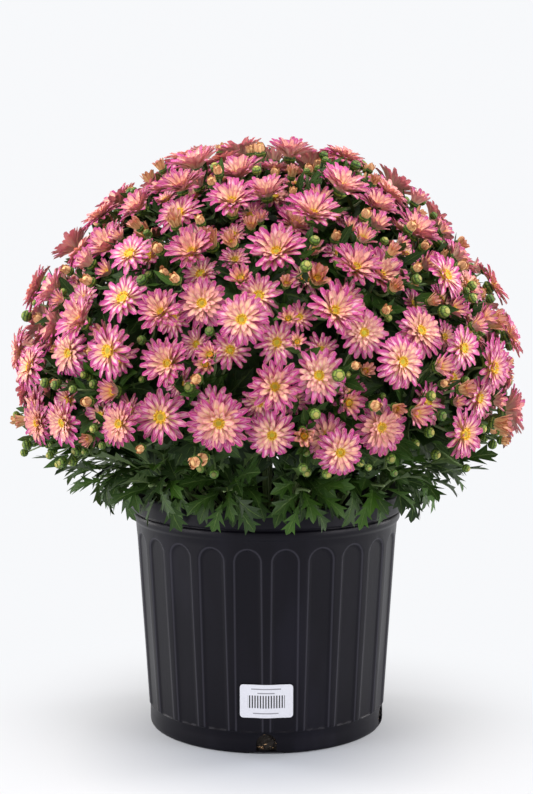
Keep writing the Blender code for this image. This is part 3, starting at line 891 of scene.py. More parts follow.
flat_disc = disc_mesh(0.19, 0.10, 0.06, 11)
wide_disc = disc_mesh(0.22, 0.11, 0.05, 9)
deep_disc = disc_mesh(0.24, 0.20, -0.16, 0)
heart = heart_mesh()
middles = (flat_disc, wide_disc, deep_disc, heart)
print("faces in the middles:", [len(mesh.polygons) for mesh in middles])

# %% Plans for the blooms
PETAL_OUTLINES = {2: ((0.42, 0.0), (1.0, 0.0), (0.66, -0.08)),
                  3: ((0.36, 0.0), (0.74, 0.0), (1.0, 0.0), (0.66, -0.07))}
PETAL_THICKNESS = 0.011
PETAL_TROUGH = 0.22
# What it is used for, name, seeds, middle, rows of faces in a petal, and the rounds of petals:
# count, root radius, root height, length, width, tilts, top row, back row
BLOOMS = (
    ("open", "flat_bloom", (1, 2, 3), flat_disc, 3, (
        (19, 0.12, -0.02, 0.90, 0.240, (12, -10), OUTER, BACK),
        (18, 0.11, 0.01, 0.82, 0.225, (22, 2), OUTER, BACK),
        (16, 0.11, 0.03, 0.68, 0.205, (34, 12), INNER, BACK),
        (13, 0.11, 0.05, 0.52, 0.180, (46, 22), INNER, BACK),
        (9, 0.11, 0.07, 0.36, 0.150, (60, 36), INNER, BACK))),
    ("open", "single_bloom", (4, 5), wide_disc, 3, (
        (16, 0.13, -0.01, 0.87, 0.255, (14, -2), OUTER, BACK),
        (14, 0.12, 0.03, 0.70, 0.230, (30, 10), OUTER, BACK),
        (8, 0.12, 0.05, 0.40, 0.170, (52, 30), INNER, BACK))),
    ("open", "nodding_bloom", (6, 7), flat_disc, 3, (
        (19, 0.12, 0.00, 0.93, 0.240, (20, -40), OUTER, BACK),
        (18, 0.12, 0.03, 0.86, 0.225, (28, -20), OUTER, BACK),
        (15, 0.11, 0.05, 0.68, 0.205, (40, 0), INNER, BACK),
        (11, 0.11, 0.07, 0.46, 0.175, (54, 24), INNER, BACK))),
    ("rising", "rising_bloom", (8, 9, 10), flat_disc, 3, (
        (17, 0.14, -0.04, 1.00, 0.265, (42, 14), OUTER, BACK),
        (15, 0.13, 0.00, 0.90, 0.245, (52, 28), OUTER, BACK),
        (13, 0.12, 0.03, 0.72, 0.215, (60, 40), INNER, BACK),
        (9, 0.11, 0.05, 0.48, 0.170, (68, 52), INNER, BACK))),
    ("bowl", "bowl", (11, 12), deep_disc, 2, (
        (12, 0.28, -0.36, 1.16, 0.37, (66, 50), OUTER, BACK),
        (8, 0.22, -0.32, 0.98, 0.32, (74, 66), INNER, BACK))),
    ("brush", "brush", (13, 14), deep_disc, 2, (
        (11, 0.30, -0.36, 1.14, 0.40, (74, 70), INNER, CLOSED),
        (8, 0.22, -0.30, 1.04, 0.34, (80, 82), INNER, CLOSED))),
    ("small", "small_bloom", (17, 18, 19), wide_disc, 2, (
        (15, 0.14, -0.02, 0.90, 0.270, (24, 4), OUTER, BACK),
        (13, 0.13, 0.03, 0.74, 0.240, (38, 18), OUTER, BACK),
        (9, 0.12, 0.05, 0.48, 0.190, (54, 32), INNER, BACK))),
    ("tuft", "closed_tuft", (15,), heart, 3, (
        (9, 0.26, -0.40, 1.70, 0.66, (36, 138), CLOSED, CLOSED),)),
    ("tuft", "blunt_tuft", (16,), heart, 3, (
        (9, 0.30, -0.40, 1.50, 0.56, (62, 106), CLOSED, CLOSED),)),
)
print("petals:", {name: sum(plan[0] for plan in rounds) for _, name, *_, rounds in BLOOMS})


# %% Rounds of petals
def absorb(bm, mesh):
    """Adds a mesh to a bmesh and drops the mesh."""
    bm.from_mesh(mesh)
    bpy.data.meshes.remove(mesh)


def add_round(bloom, plan, draw, half_step, rows):
    """One round of petals, each a little different from its neighbours."""
    count, root, height, length, width, tilts, top_row, back_row = plan
    for k in range(count):
        petal = flat_plate(rows)
        lay_on_tiles(petal, top_row, back_row, draw.choice((0, 0, 1)))
        sway = draw.uniform(-8, 8)
        size = length * draw.uniform(0.84, 1.05)
        bend_blade(petal, PETAL_OUTLINES[rows], width / length * draw.uniform(0.9, 1.1),
                   (tilts[0] + sway, tilts[1] + sway + draw.uniform(-9, 9)),
                   PETAL_TROUGH, PETAL_THICKNESS)
        turn = 2 * math.pi * (k + half_step + draw.uniform(-0.22, 0.22)) / count
        place = (Matrix.Rotation(turn, 4, "Z") @ Matrix.Translation((0, root, height))
                 @ Matrix.Rotation(draw.uniform(-0.25, 0.25), 4, "Y") @ Matrix.Scale(size, 4))
        bmesh.ops.transform(petal, matrix=place, verts=petal.verts[:])
        absorb(bloom, mesh_from(petal, "petal"))


def bloom_mesh(name, seed, middle, rows, rounds):
    """A whole bloom of unit radius whose petals open towards +Z, round its middle."""
    draw = random.Random(seed)
    bloom = new_sheeted()
    for k, plan in enumerate(rounds):
        add_round(bloom, plan, draw, 0.5 * (k % 2), rows)
    bloom.from_mesh(middle)
    return mesh_from(bloom, name)


bloom_shapes = {}
for use, name, seeds, *parts in BLOOMS:
    bloom_shapes.setdefault(use, []).extend(bloom_mesh(name, seed, *parts) for seed in seeds)
print("bloom shapes:", {use: len(shapes) for use, shapes in bloom_shapes.items()})

# %% [markdown]
# ## Leaves, buds and stalks
# The leaf has three fingers a side and a long pointed one in front. On a plate of nine rows the
# edge points of every second row stand out and lie ahead, and those between are drawn in, which
# cuts the fingers. Leaves inside the dome have five rows and fewer fingers. Buds are spheres with
# their points moved in and out like scales. A stalk is an upright cylinder of four or six sides,
# cut into rings that later follow a curve.

# %% Leaf variants
LEAF_OUTLINE = ((0.05, 0.0), (0.08, 0.0), (0.46, 0.12), (0.15, -0.03), (0.98, 0.18), (0.26, -0.02),
                (0.78, 0.19), (0.36, 0.02), (0.27, 0.0), (0.015, 0.0))
INNER_OUTLINE = ((0.06, 0.0), (0.42, 0.08), (0.26, 0.0), (0.95, 0.14), (0.34, 0.02), (0.02, 0.0))
BRACT_OUTLINE = ((0.25, 0.0), (1.0, 0.0), (0.75, 0.0), (0.05, 0.0))
LEAF_THICKNESS = 0.012
LEAF_SHAPES = ((0.66, (14, -26), 0.12), (0.58, (20, -40), 0.18), (0.70, (6, -18), 0.08),
               (0.52, (24, -50), 0.14), (0.62, (10, 16), 0.14), (0.54, (16, -14), -0.08))
INNER_SHAPES = ((0.66, (12, -26), 0.12), (0.58, (12, -26), 0.12))


def leaf_mesh(name, outline, shape, draw):
    """A leaf one unit long, from its root along +Y, with its top towards +Z."""
    cut = []
    for k, (share, ahead) in enumerate(outline):
        wander = draw.uniform(0.88, 1.10) if 1 < k < len(outline) - 1 else 1.0
        cut.append((share * wander, ahead))
    leaf = flat_plate(len(outline) - 1)
    lay_on_tiles(leaf, LEAF_TOP, LEAF_BACK)
    bend_blade(leaf, cut, *shape, LEAF_THICKNESS)
    twist = draw.uniform(-0.5, 0.5)
    for vert in leaf.verts:
        turn = twist * vert.co.y
        x, z = vert.co.x, vert.co.z
        vert.co.x = x * math.cos(turn) + z * math.sin(turn)
        vert.co.z = z * math.cos(turn) - x * math.sin(turn)
    return mesh_from(leaf, name)


leaf_draw = random.Random(3)
leaf_meshes = [leaf_mesh("leaf", LEAF_OUTLINE, shape, leaf_draw) for shape in LEAF_SHAPES]
inner_meshes = [leaf_mesh("inner_leaf", INNER_OUTLINE, shape, leaf_draw) for shape in INNER_SHAPES]
bract_mesh = leaf_mesh("bract", BRACT_OUTLINE, (0.36, (10, 24), 0.10), leaf_draw)
print("faces in a leaf:", len(leaf_meshes[0].polygons))


# %% Bud and stalk
BRACT_SWELL = 0.05
BUD_SQUASH = 0.96


def wrap_tile(bm, row, low, high, paint):
    """Gives a round thing its paint and lays it on its tile: round it across, and up it along."""
    sheet = bm.loops.layers.uv.active
    for face in bm.faces:
        face.material_index = paint
        middle = face.calc_center_median()
        here = math.atan2(middle.y, middle.x) / (2 * math.pi) % 1.0
        for loop in face.loops:
            x, y, z = loop.vert.co
            across = here
            if math.hypot(x, y) > 1e-5:
                across = math.atan2(y, x) / (2 * math.pi) % 1.0
                across += round(here - across)
            loop[sheet].uv = tile_spot(0, row, clipped(across), (z - low) / (high - low))


def bud_shape(name, segments, rings):
    """A squat bud of unit radius whose points stand in and out by turns, as its bracts do."""
    bm = new_sheeted()
    bmesh.ops.create_uvsphere(bm, u_segments=segments, v_segments=rings, radius=1.0)
    for vert in bm.verts:
        turn = math.atan2(vert.co.y, vert.co.x)
        tier = round((math.asin(max(-1.0, min(1.0, vert.co.z))) / math.pi + 0.5) * rings)
        wave = math.cos(segments / 2 * turn + math.pi * tier)
        swell = 1 + BRACT_SWELL * wave * math.hypot(vert.co.x, vert.co.y)
        vert.co.x *= swell
        vert.co.y *= swell
        vert.co.z *= BUD_SQUASH
    wrap_tile(bm, BUD, -BUD_SQUASH, BUD_SQUASH, 2)
    return mesh_from(bm, name)


def stalk_shape(sides, cuts):
    """A straight stalk of unit radius and length, to be bent later."""
    bm = new_sheeted()
    bmesh.ops.create_cone(bm, cap_ends=True, segments=sides, radius1=1.0, radius2=1.0, depth=1.0)
    bmesh.ops.translate(bm, vec=(0, 0, 0.5), verts=bm.verts[:])
    upright = [edge for edge in bm.edges if abs(edge.verts[0].co.z - edge.verts[1].co.z) > 0.5]
    bmesh.ops.subdivide_edges(bm, edges=upright, cuts=cuts)
    wrap_tile(bm, STALK, 0.0, 1.0, 1)
    return mesh_from(bm, "stalk")


bud_mesh = bud_shape("bud", 10, 7)
calyx_mesh = bud_shape("calyx", 8, 4)
stalk_mesh = stalk_shape(6, 4)
thin_stalk_mesh = stalk_shape(4, 3)
print("faces in a bud and a stalk:", len(bud_mesh.polygons), len(stalk_mesh.polygons))

# %% [markdown]
# ## Planting copies
# A copy of a variant is scaled, turned and moved to its place, shifted to the column of its tint,
# and added to the piece that it belongs to. What would stand out of the measured box is moved in.

# %% Planting helpers
THICK_STALK = 0.0011


def tinted(copy, tint):
    """Moves a copy's faces to the column of the sheet that has its tint."""
    layer = copy.uv_layers[SHEET].data
    spots = np.empty(len(layer) * 2, np.float32)
    layer.foreach_get("uv", spots)
    spots[0::2] += tint / TILES
    layer.foreach_set("uv", spots)


def moved_inside(copy):
    """Shifts a copy back into the measured box where it stands out of it."""
    points = np.empty(len(copy.vertices) * 3, np.float32)
    copy.vertices.foreach_get("co", points)
    points = points.reshape(-1, 3)
    low, high = points.min(axis=0), points.max(axis=0)
    shift = np.maximum(np.array(cad_box[0]) - low, 0) + np.minimum(np.array(cad_box[1]) - high, 0)
    if np.abs(shift).max() > 0:
        copy.transform(Matrix.Translation(shift.tolist()))
    return Vector(shift.tolist())


def plant(bm, template, place, tint):
    """Adds one placed and tinted copy of a template to a piece, and says how far it was moved."""
    copy = template.copy()
    copy.transform(place)
    tinted(copy, tint)
    shift = moved_inside(copy)
    absorb(bm, copy)
    return shift


def standing(place, axis, turn, size):
    """The matrix that stands a template on place with its +Z along axis."""
    axes = Matrix((*across_axes(axis), axis)).transposed().to_4x4()
    return Matrix.Translation(place) @ axes @ Matrix.Rotation(turn, 4, "Z") @ Matrix.Scale(size, 4)


def around(axis, turn):
    """The direction square to an axis at a turn round it."""
    side, front = across_axes(axis)
    return side * math.cos(turn) + front * math.sin(turn)


def add_stalk(bm, start, end, heading, radii, tint):
    """A round stalk from start to end that arrives along heading."""
    copy = (stalk_mesh if radii[0] > THICK_STALK else thin_stalk_mesh).copy()
    span = end - start
    knee = end - heading * (span.length * 0.45)
    side, front = across_axes(span.normalized())
    for vert in copy.vertices:
        x, y, t = vert.co
        middle = start * (1 - t) ** 2 + knee * (2 * t * (1 - t)) + end * t ** 2
        radius = radii[0] + (radii[1] - radii[0]) * t
        vert.co = middle + (side * x + front * y) * radius
    tinted(copy, tint)
    absorb(bm, copy)


def add_leaf(bm, template, root, tip, face, roll, tint, fullness=1.0):
    """A leaf from root to tip whose top looks towards face, rolled a little."""
    length = (tip - root).length
    way = (tip - root).normalized()
    side = way.cross(face).normalized()
    axes = Matrix((side * fullness, way, side.cross(way))).transposed().to_4x4()
    place = (Matrix.Translation(root) @ axes @ Matrix.Rotation(roll, 4, "Y")
             @ Matrix.Scale(length, 4))
    plant(bm, template, place, tint)


def new_piece(bm, name, paints, nodes=()):
    """Makes a piece of a bmesh, gives it its finishes and fastens it to the pot's body."""
    bmesh.ops.recalc_face_normals(bm, faces=bm.faces[:])
    for face in bm.faces:
        face.smooth = True
    piece = put_in_scene(name, mesh_from(bm, name))
    for paint in paints:
        piece.data.materials.append(paint)
    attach(piece, "root")
    if nodes:
        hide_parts(*nodes)
    return piece


print("columns of tints for the copies:", TILES)

# %% [markdown]
# ## Dressing the flowering stems
# Each spray becomes two pieces: its petals, and its greens, which are the twigs, buds, calyxes
# and whorls of leaves. Blooms on top of the dome are mostly still rising, as the light from the
# side shows in the photograph, and those on its flanks lie open. A rising bloom sits a little
# lower, so that its petals end where the dome does.

# %% Petals of one spray
RISING_SINK = 0.25
TOP_FACING = 0.70
RISING_ON_TOP, RISING_BELOW = 0.80, 0.30
BOWL_SHARE = 0.6


def bloom_use(flower, draw):
    """What kind of shape a flower gets, by its own kind and by how far up it faces."""
    if flower["kind"] == "open" and flower["radius"] < SMALLEST_LARGE:
        return "small"
    if flower["kind"] == "open":
        rising = RISING_ON_TOP if flower["facing"].z > TOP_FACING else RISING_BELOW
        return "rising" if draw.random() < rising else "open"
    if flower["kind"] == "cup":
        return "bowl" if draw.random() < BOWL_SHARE else "brush"
    return "tuft"


def spray_petals(spray, draw):
    bm = new_sheeted()
    for flower in spray["flowers"]:
        if flower["kind"] == "bud":
            continue
        tint = draw.randrange(TILES - 1)
        use = bloom_use(flower, draw)
        shape = draw.choice(bloom_shapes[use])
        if use == "rising":
            flower["place"] = flower["place"] - flower["facing"] * (flower["radius"] * RISING_SINK)
        place = standing(flower["place"], flower["facing"], flower["turn"] * 2, flower["radius"])
        flower["place"] = flower["place"] + plant(bm, shape, place, tint)
    return bm


print("uses of the bloom shapes:", sorted(bloom_shapes))


# %% Greens of one spray
LEAF_TINTS = (0, 0, 0, 1, 1, 2)
CALYX_DEPTH = 0.0070
# Shares of the flower's radius: the calyx's radius, how far back it lies, how deep its neck lies
CALYXES = {"open": (0.27, 0.11, 0.0), "cup": (0.42, 0.42, 0.75),
           "tan_bud": (0.74, 0.40, 1.0), "bud": (1.0, 0.0, 0.85)}
BRACT_TRIES = 4
BRACT_CHANCE = 0.65
BRACT_SPOTS = (0.10, 0.85)
BRACT_LENGTHS = (0.013, 0.027)
BUD_TWIG, BLOOM_TWIG = 0.0008, 0.0012
# Count, lift of the roots, lift of the tips, share of the patch, offset, shapes
WHORL_ROUNDS = (
    (8, -0.050, -0.054, 1.30, 0.5, inner_meshes),
    (9, -0.030, -0.026, 1.12, 0.0, inner_meshes),
    (10, -0.016, -0.006, 0.98, 0.5, leaf_meshes),
    (7, -0.012, 0.011, 0.86, 0.0, inner_meshes),
)
WHORL_HEART = 0.006


def add_calyx(bm, flower, tint):
    """The green cup under a flower, and how deep its neck lies."""
    kind, size, facing = flower["kind"], flower["radius"], flower["facing"]
    swell, back, neck = CALYXES[kind]
    place = standing(flower["place"] - facing * (size * back), facing, flower["turn"], size * swell)
    if kind == "bud":
        plant(bm, bud_mesh, place, tint)
    else:
        plant(bm, calyx_mesh, place @ Matrix.Diagonal((1, 1, 0.85, 1)), tint)
    return CALYX_DEPTH if kind == "open" else size * neck


def add_twig(bm, flower, draw):
    """The calyx, its twig down to the whorl, and up to four bracts on it."""
    facing, root = flower["facing"], flower["root"]
    neck = flower["place"] - facing * add_calyx(bm, flower, draw.randrange(TILES))
    thin = BUD_TWIG if flower["kind"] in ("bud", "tan_bud") else BLOOM_TWIG
    add_stalk(bm, root, neck, facing, (thin * 1.3, thin), draw.randrange(TILES))
    for _ in range(BRACT_TRIES):
        if draw.random() < BRACT_CHANCE:
            start = root.lerp(neck, draw.uniform(*BRACT_SPOTS))
            way = around(facing, draw.uniform(0, 2 * math.pi)) + facing * 0.7
            tip = start + way.normalized() * draw.uniform(*BRACT_LENGTHS)
            add_leaf(bm, bract_mesh, start, tip, facing, 0.0, draw.choice(LEAF_TINTS) + 1)


def add_whorl(bm, spray, draw):
    """Rounds of leaves: two low and wide, one over the patch, one that rises to the flowers."""
    middle, out = spray["middle"], spray["out"]
    for count, root_lift, tip_lift, reach, offset, shapes in WHORL_ROUNDS:
        start = draw.uniform(0, 1)
        for k in range(count):
            way = around(out, 2 * math.pi * (k + start + offset + draw.uniform(-0.2, 0.2)) / count)
            far = patch_reach(spray, way) * reach * draw.uniform(0.88, 1.05)
            root = middle + out * root_lift + way * WHORL_HEART
            tip = middle + out * (tip_lift + draw.uniform(-0.004, 0.004)) + way * far
            face = out + Vector((draw.uniform(-0.3, 0.3), draw.uniform(-0.3, 0.3), 0.2))
            add_leaf(bm, draw.choice(shapes), root, tip, face, draw.uniform(-0.3, 0.3),
                     draw.choice(LEAF_TINTS))


def spray_greens(spray, draw):
    bm = new_sheeted()
    add_whorl(bm, spray, draw)
    for flower in spray["flowers"]:
        add_twig(bm, flower, draw)
    return bm


print("leaves in a whorl:", sum(plan[0] for plan in WHORL_ROUNDS))


# %% All the sprays
dress_draw = random.Random(19)
stem_nodes = [f"flowering_stem_{number:02d}" for number in range(1, len(sprays) + 1)]
for number, (spray, node) in enumerate(zip(sprays, stem_nodes), 1):
    petals, greens = f"petals_{number:02d}", f"greens_{number:02d}"
    new_piece(spray_petals(spray, dress_draw), petals, flower_paints, [node])
    new_piece(spray_greens(spray, dress_draw), greens, green_paints, [node])
print("sprays dressed:", len(sprays))

# %% Main stems out of the soil
STEM_LEAVES = (0.40, 0.50, 0.60, 0.70, 0.80, 0.88, 0.95, 1.0)
STEM_LEAF_LENGTH = 0.054
STEM_LEAF_TURN = 2.4
STEM_RADII = (0.0023, 0.0020)
BRANCH_RADII = (0.0020, 0.0016)
SEAT_DEPTH = 0.011
BRANCH_DEPTH = 0.008


def make_main_stems():
    """The stems between the soil and the whorls with their inner leaves, all in one piece."""
    bm = new_sheeted()
    for number, spray in enumerate(sprays):
        way = spray["way"]
        seat = CROWN + way * ((SOIL_CROWN - CROWN.z) / way.z)
        hub = CROWN + way * ((spray["middle"] - CROWN).length - WHORL_DEPTH)
        bend = spray["middle"] - spray["out"] * BRANCH_DEPTH
        add_stalk(bm, seat - way * SEAT_DEPTH, hub, way, STEM_RADII, number % TILES)
        add_stalk(bm, hub, bend, spray["out"], BRANCH_RADII, number % TILES)
        for k, share in enumerate(STEM_LEAVES):
            root = seat.lerp(hub, share)
            heading = around(way, STEM_LEAF_TURN * k + number) + way * 0.75
            tip = root + heading * (STEM_LEAF_LENGTH * share)
            add_leaf(bm, inner_meshes[k % 2], root, tip, way, 0.0, k % 2)
    new_piece(bm, "main_stems", green_paints, stem_nodes)


make_main_stems()
print("main stems:", len(sprays))

# %% [markdown]
# ## The leafy skirt
# Under the flowers hangs a thick skirt of leaves that hides the rim. Each leafy stem carries the
# five leaves of its measured solid, and a plan of smaller ones that close the gaps around them,
# up to the lowest flowers.

# %% Leafy stems
LEAFY_COUNT = 15
LEAFY_ROUTE = ((0.090, 0.197), (0.113, 0.238), (0.142, 0.262), (0.185, 0.266))
SKIRT_TINTS = (0, 1, 1, 2, 3)
# The root and the tip of each leaf in mm: sideways, out from the pot's axis, up
LEAF_PLAN = (
    ((5, 166, 254), (22, 162, 221.5)), ((-5, 168, 254), (-18, 170, 222)),
    ((7, 176, 262), (36, 200, 245)), ((-7, 176, 262), (-34, 205, 250)),
    ((3, 188, 269), (15, 236, 281)),
)
FILL_PLAN = (
    ((0, 142, 262), (2, 158, 228)), ((12, 148, 264), (36, 162, 234)),
    ((-12, 148, 264), (-34, 164, 230)), ((4, 126, 246), (26, 138, 300)),
    ((-4, 126, 246), (-24, 136, 296)), ((0, 120, 262), (2, 132, 316)),
    ((20, 136, 262), (12, 160, 318)), ((-20, 136, 262), (-14, 158, 314)),
    ((0, 160, 266), (8, 182, 241)), ((12, 172, 272), (42, 200, 266)),
    ((-12, 172, 272), (-42, 202, 270)), ((10, 182, 280), (32, 222, 296)),
    ((-10, 182, 280), (-30, 226, 300)), ((0, 184, 284), (-6, 232, 312)),
    ((14, 176, 288), (46, 214, 316)), ((-14, 176, 288), (-44, 214, 320)),
    ((4, 172, 292), (12, 222, 334)), ((12, 166, 300), (-20, 218, 346)),
    ((8, 172, 276), (20, 206, 266)), ((-20, 150, 270), (-24, 192, 288)),
    ((6, 142, 268), (16, 177, 250)), ((-8, 142, 268), (-18, 180, 256)),
    ((18, 148, 276), (30, 186, 280)), ((-16, 148, 278), (-32, 188, 284)),
)


def skirt_point(turn, spot):
    sideways, radius, height = (value / 1000 for value in spot)
    return polar(radius, turn, height) + Vector((math.cos(turn), math.sin(turn), 0)) * sideways


def leafy_stem(turn, draw):
    """One stem over the rim with its own leaves and the small ones that fill in."""
    bm = new_sheeted()
    foot, knee, rim, end = (polar(radius, turn, height) for radius, height in LEAFY_ROUTE)
    heading = (rim - knee).normalized()
    add_stalk(bm, foot, rim, heading, (0.0022, 0.0020), 1)
    add_stalk(bm, rim - heading * 0.002, end, polar(1, turn, 0), (0.0020, 0.0013), 2)
    for plan, spread, small in ((LEAF_PLAN, 0.003, 0.0), (FILL_PLAN, 0.007, 1.0)):
        for root_spot, tip_spot in plan:
            root, tip = skirt_point(turn, root_spot), skirt_point(turn, tip_spot)
            wander = Vector((draw.uniform(-1, 1), draw.uniform(-1, 1), draw.uniform(-0.7, 0.7)))
            root += wander * spread * 0.5 * small
            tip += wander * spread
            face = polar(0.9, turn, 0) + Vector((0, 0, 0.6 if tip.z < root.z else 1.2))
            add_leaf(bm, draw.choice(leaf_meshes[:4]), root, tip, face, draw.uniform(-0.5, 0.5),
                     draw.choice(SKIRT_TINTS), draw.uniform(0.8, 1.05))
    return bm


skirt_draw = random.Random(23)
for number in range(1, LEAFY_COUNT + 1):
    turn = 2 * math.pi * (number - 0.5) / LEAFY_COUNT
    new_piece(leafy_stem(turn, skirt_draw), f"skirt_{number:02d}", green_paints,
              [f"leafy_stem_{number:02d}"])
print("leafy stems dressed:", LEAFY_COUNT)

# %% [markdown]
# ## The nursery pot
# The pot is blow-moulded in black plastic. Its wall is a turned profile, so it is spun, and the
# 23 arched panels are then pressed into it: each point of the wall moves in by how deep it lies
# inside its panel's outline, which gives the soft edges of moulded plastic. The drain holes are
# cut last.

# %% Pot sizes
POT_HEIGHT = 0.241
RIM_RADIUS = 0.1395
BASE_RADIUS = 0.1200
FLOOR_THICKNESS = 0.0025
PANEL_COUNT = 23
PANEL_SHARE = 0.775
PANEL_WIDENING = 1.035
PANEL_DEPTH = 0.0015
PANEL_FOOT = 0.022
PANEL_TOP = 0.2025
LAND_FOOT_RADIUS = 0.1217
LAND_TOP_RADIUS = 0.1335
LAND_TOP = 0.2105
LAND_LEAN = (LAND_TOP_RADIUS - LAND_FOOT_RADIUS) / (LAND_TOP - PANEL_FOOT)
BEAD_RADIUS = 0.1362
GROOVE_RADIUS = 0.1343
GROOVE_HEIGHT = 0.2208
WALL = 0.0018
COLUMNS_PER_PANEL = 16
PANEL_EDGE = 0.0022
WALL_TOLERANCE = 0.0004
PITCH = 2 * math.pi / PANEL_COUNT
HALF_PANEL = PITCH / 2 * PANEL_SHARE
HALF_WIDTH = LAND_FOOT_RADIUS * math.sin(HALF_PANEL) * PANEL_WIDENING
ARCH_MIDDLE = PANEL_TOP - HALF_WIDTH


def land_radius(height):
    return LAND_FOOT_RADIUS + LAND_LEAN * (height - PANEL_FOOT)


def inner_radius(height):
    return land_radius(height) - PANEL_DEPTH - WALL


# What a row of points is measured from: a radius and a height, then steps out and up in mm
FOOT_STEPS = (BASE_RADIUS, 0.0, (
    (-3.0, 0), (-1.2, 0.6), (-0.3, 2.0), (0, 4.5), (0, 13), (0, 20.4), (0.6, 21.4)))
BEAD_STEPS = (BEAD_RADIUS, LAND_TOP, (
    (-2.3, -0.4), (-0.8, 1.0), (0, 2.6), (0.1, 7.5), (-0.5, 8.7)))
GROOVE_STEPS = (GROOVE_RADIUS, GROOVE_HEIGHT, (
    (0.3, -0.9), (0, 0), (0.4, 0.9)))
RIM_STEPS = (RIM_RADIUS, POT_HEIGHT, (
    (-1.2, -18.6), (-0.4, -17.7), (-0.2, -11.0), (0, -2.5), (-0.4, -0.8), (-1.2, 0), (-2.5, 0),
    (-3.3, -0.8)))
WALL_HEIGHTS = (0.0226, 0.0240, 0.0260, 0.0300, 0.0420, *(0.060 + 0.018 * k for k in range(7)),
                0.1800, 0.1860, *(0.1885 + 0.0013 * k for k in range(12)), 0.2087)


def stepped(radius, height, steps):
    return [(radius + out / 1000, height + up / 1000) for out, up in steps]


def pot_profile():
    """(radius, height) from the middle of the underside, up the outside and down the inside."""
    points = [(0.0, 0.0), (0.060, 0.0), *stepped(*FOOT_STEPS)]
    points += [(land_radius(height), height) for height in WALL_HEIGHTS]
    points += stepped(*BEAD_STEPS) + stepped(*GROOVE_STEPS) + stepped(*RIM_STEPS)
    points += [(inner_radius(height), height) for height in (LAND_TOP, 0.150, 0.080, 0.004)]
    floor_radii = (inner_radius(0.004) - 0.001, 0.060, 0.0)
    return points + [(radius, FLOOR_THICKNESS) for radius in floor_radii]


print("points in the pot's profile:", len(pot_profile()))


# %% Spinning and pressing the wall
def spin_pot():
    bm = bmesh.new()
    verts = [bm.verts.new((0, -radius, height)) for radius, height in pot_profile()]
    edges = [bm.edges.new(pair) for pair in zip(verts, verts[1:])]
    bmesh.ops.spin(bm, geom=verts + edges, cent=(0, 0, 0), axis=(0, 0, 1), angle=2 * math.pi,
                   steps=PANEL_COUNT * COLUMNS_PER_PANEL, use_merge=True)
    bmesh.ops.remove_doubles(bm, verts=bm.verts[:], dist=1e-6)
    bmesh.ops.recalc_face_normals(bm, faces=bm.faces[:])
    return bm


def press_panels(bm):
    """Moves the wall's points into the arched panels, with a soft edge all round each."""
    for vert in bm.verts:
        x, y, z = vert.co
        radius = math.hypot(x, y)
        if not (PANEL_FOOT < z < PANEL_TOP and abs(radius - land_radius(z)) < WALL_TOLERANCE):
            continue
        off = (math.atan2(x, -y) / PITCH) % 1.0 - 0.5
        sideways = radius * math.sin(off * PITCH)
        depth = HALF_WIDTH - math.hypot(sideways, max(z - ARCH_MIDDLE, 0.0))
        share = clipped(depth / PANEL_EDGE)
        share = share * share * (3 - 2 * share)
        floor_radius = (radius * math.cos(HALF_PANEL) - PANEL_DEPTH * 0.9) / math.cos(off * PITCH)
        new_radius = radius + (floor_radius - radius) * share
        vert.co = Vector((x * new_radius / radius, y * new_radius / radius, z))


print("panels:", PANEL_COUNT, "of a width in mm of", round(HALF_WIDTH * 2000, 1))


# %% Drain holes
DRAIN_TURNS = (0.0, 76.0, 180.0, 256.0)
# Width, foot, top, distance from the axis, corner radius
HOLE = (0.0196, 0.0030, 0.0200, 0.108, 0.0097)
NOTCH = (0.034, -0.002, 0.0020, 0.1135, 0.0015)
CUTTER_END = 0.130


def upright_card(bm, width, foot, top, y):
    """One upright face that looks to the front, and its corners from the lower left round."""
    outline = ((-width / 2, foot), (width / 2, foot), (width / 2, top), (-width / 2, top))
    corners = [bm.verts.new((x, y, z)) for x, z in outline]
    bm.faces.new(corners)
    return corners


def round_off(bm, corners, radius):
    bmesh.ops.bevel(bm, geom=corners, offset=radius, segments=6, profile=0.5,
                    affect="VERTICES", material=-1)


def arched_cutter(width, foot, top, near, corner, degrees):
    """A bar with rounded upper corners that runs out through the wall's foot."""
    bm = bmesh.new()
    round_off(bm, upright_card(bm, width, foot, top, -near)[2:], corner)
    deep = bmesh.ops.extrude_face_region(bm, geom=bm.faces[:])
    far = [part for part in deep["geom"] if isinstance(part, bmesh.types.BMVert)]
    bmesh.ops.translate(bm, verts=far, vec=(0, near - CUTTER_END, 0))
    turn = Matrix.Rotation(math.radians(degrees), 3, "Z")
    bmesh.ops.rotate(bm, verts=bm.verts[:], cent=(0, 0, 0), matrix=turn)
    bmesh.ops.recalc_face_normals(bm, faces=bm.faces[:])
    return mesh_from(bm, "cutter")


def drain_cutters():
    """An arched hole through the foot and a shallow notch under it, at four places round."""
    bm = bmesh.new()
    for degrees in DRAIN_TURNS:
        for sizes in (HOLE, NOTCH):
            absorb(bm, arched_cutter(*sizes, degrees))
    return put_in_scene("drain_cutters", mesh_from(bm, "drain_cutters"))


def cut(thing, cutter):
    """Takes the cutter out of the thing and removes the cutter."""
    trim = thing.modifiers.new("cut", "BOOLEAN")
    trim.operation = "DIFFERENCE"
    trim.solver = "MANIFOLD"
    trim.object = cutter
    graph = bpy.context.evaluated_depsgraph_get()
    made = bpy.data.meshes.new_from_object(thing.evaluated_get(graph))
    thing.modifiers.clear()
    thing.data = made
    bpy.data.objects.remove(cutter, do_unlink=True)


print("drain holes at", DRAIN_TURNS, "degrees")

# %% [markdown]
# ## Black plastic
# Moulded plastic is dark and satin, with a fine grain, faint marks of handling and a film of
# dust, thicker near the ground. A fine raised line runs along the outline of each arched panel,
# painted paler as a painted highlight on its ridge. All of it is drawn on Object coordinates.

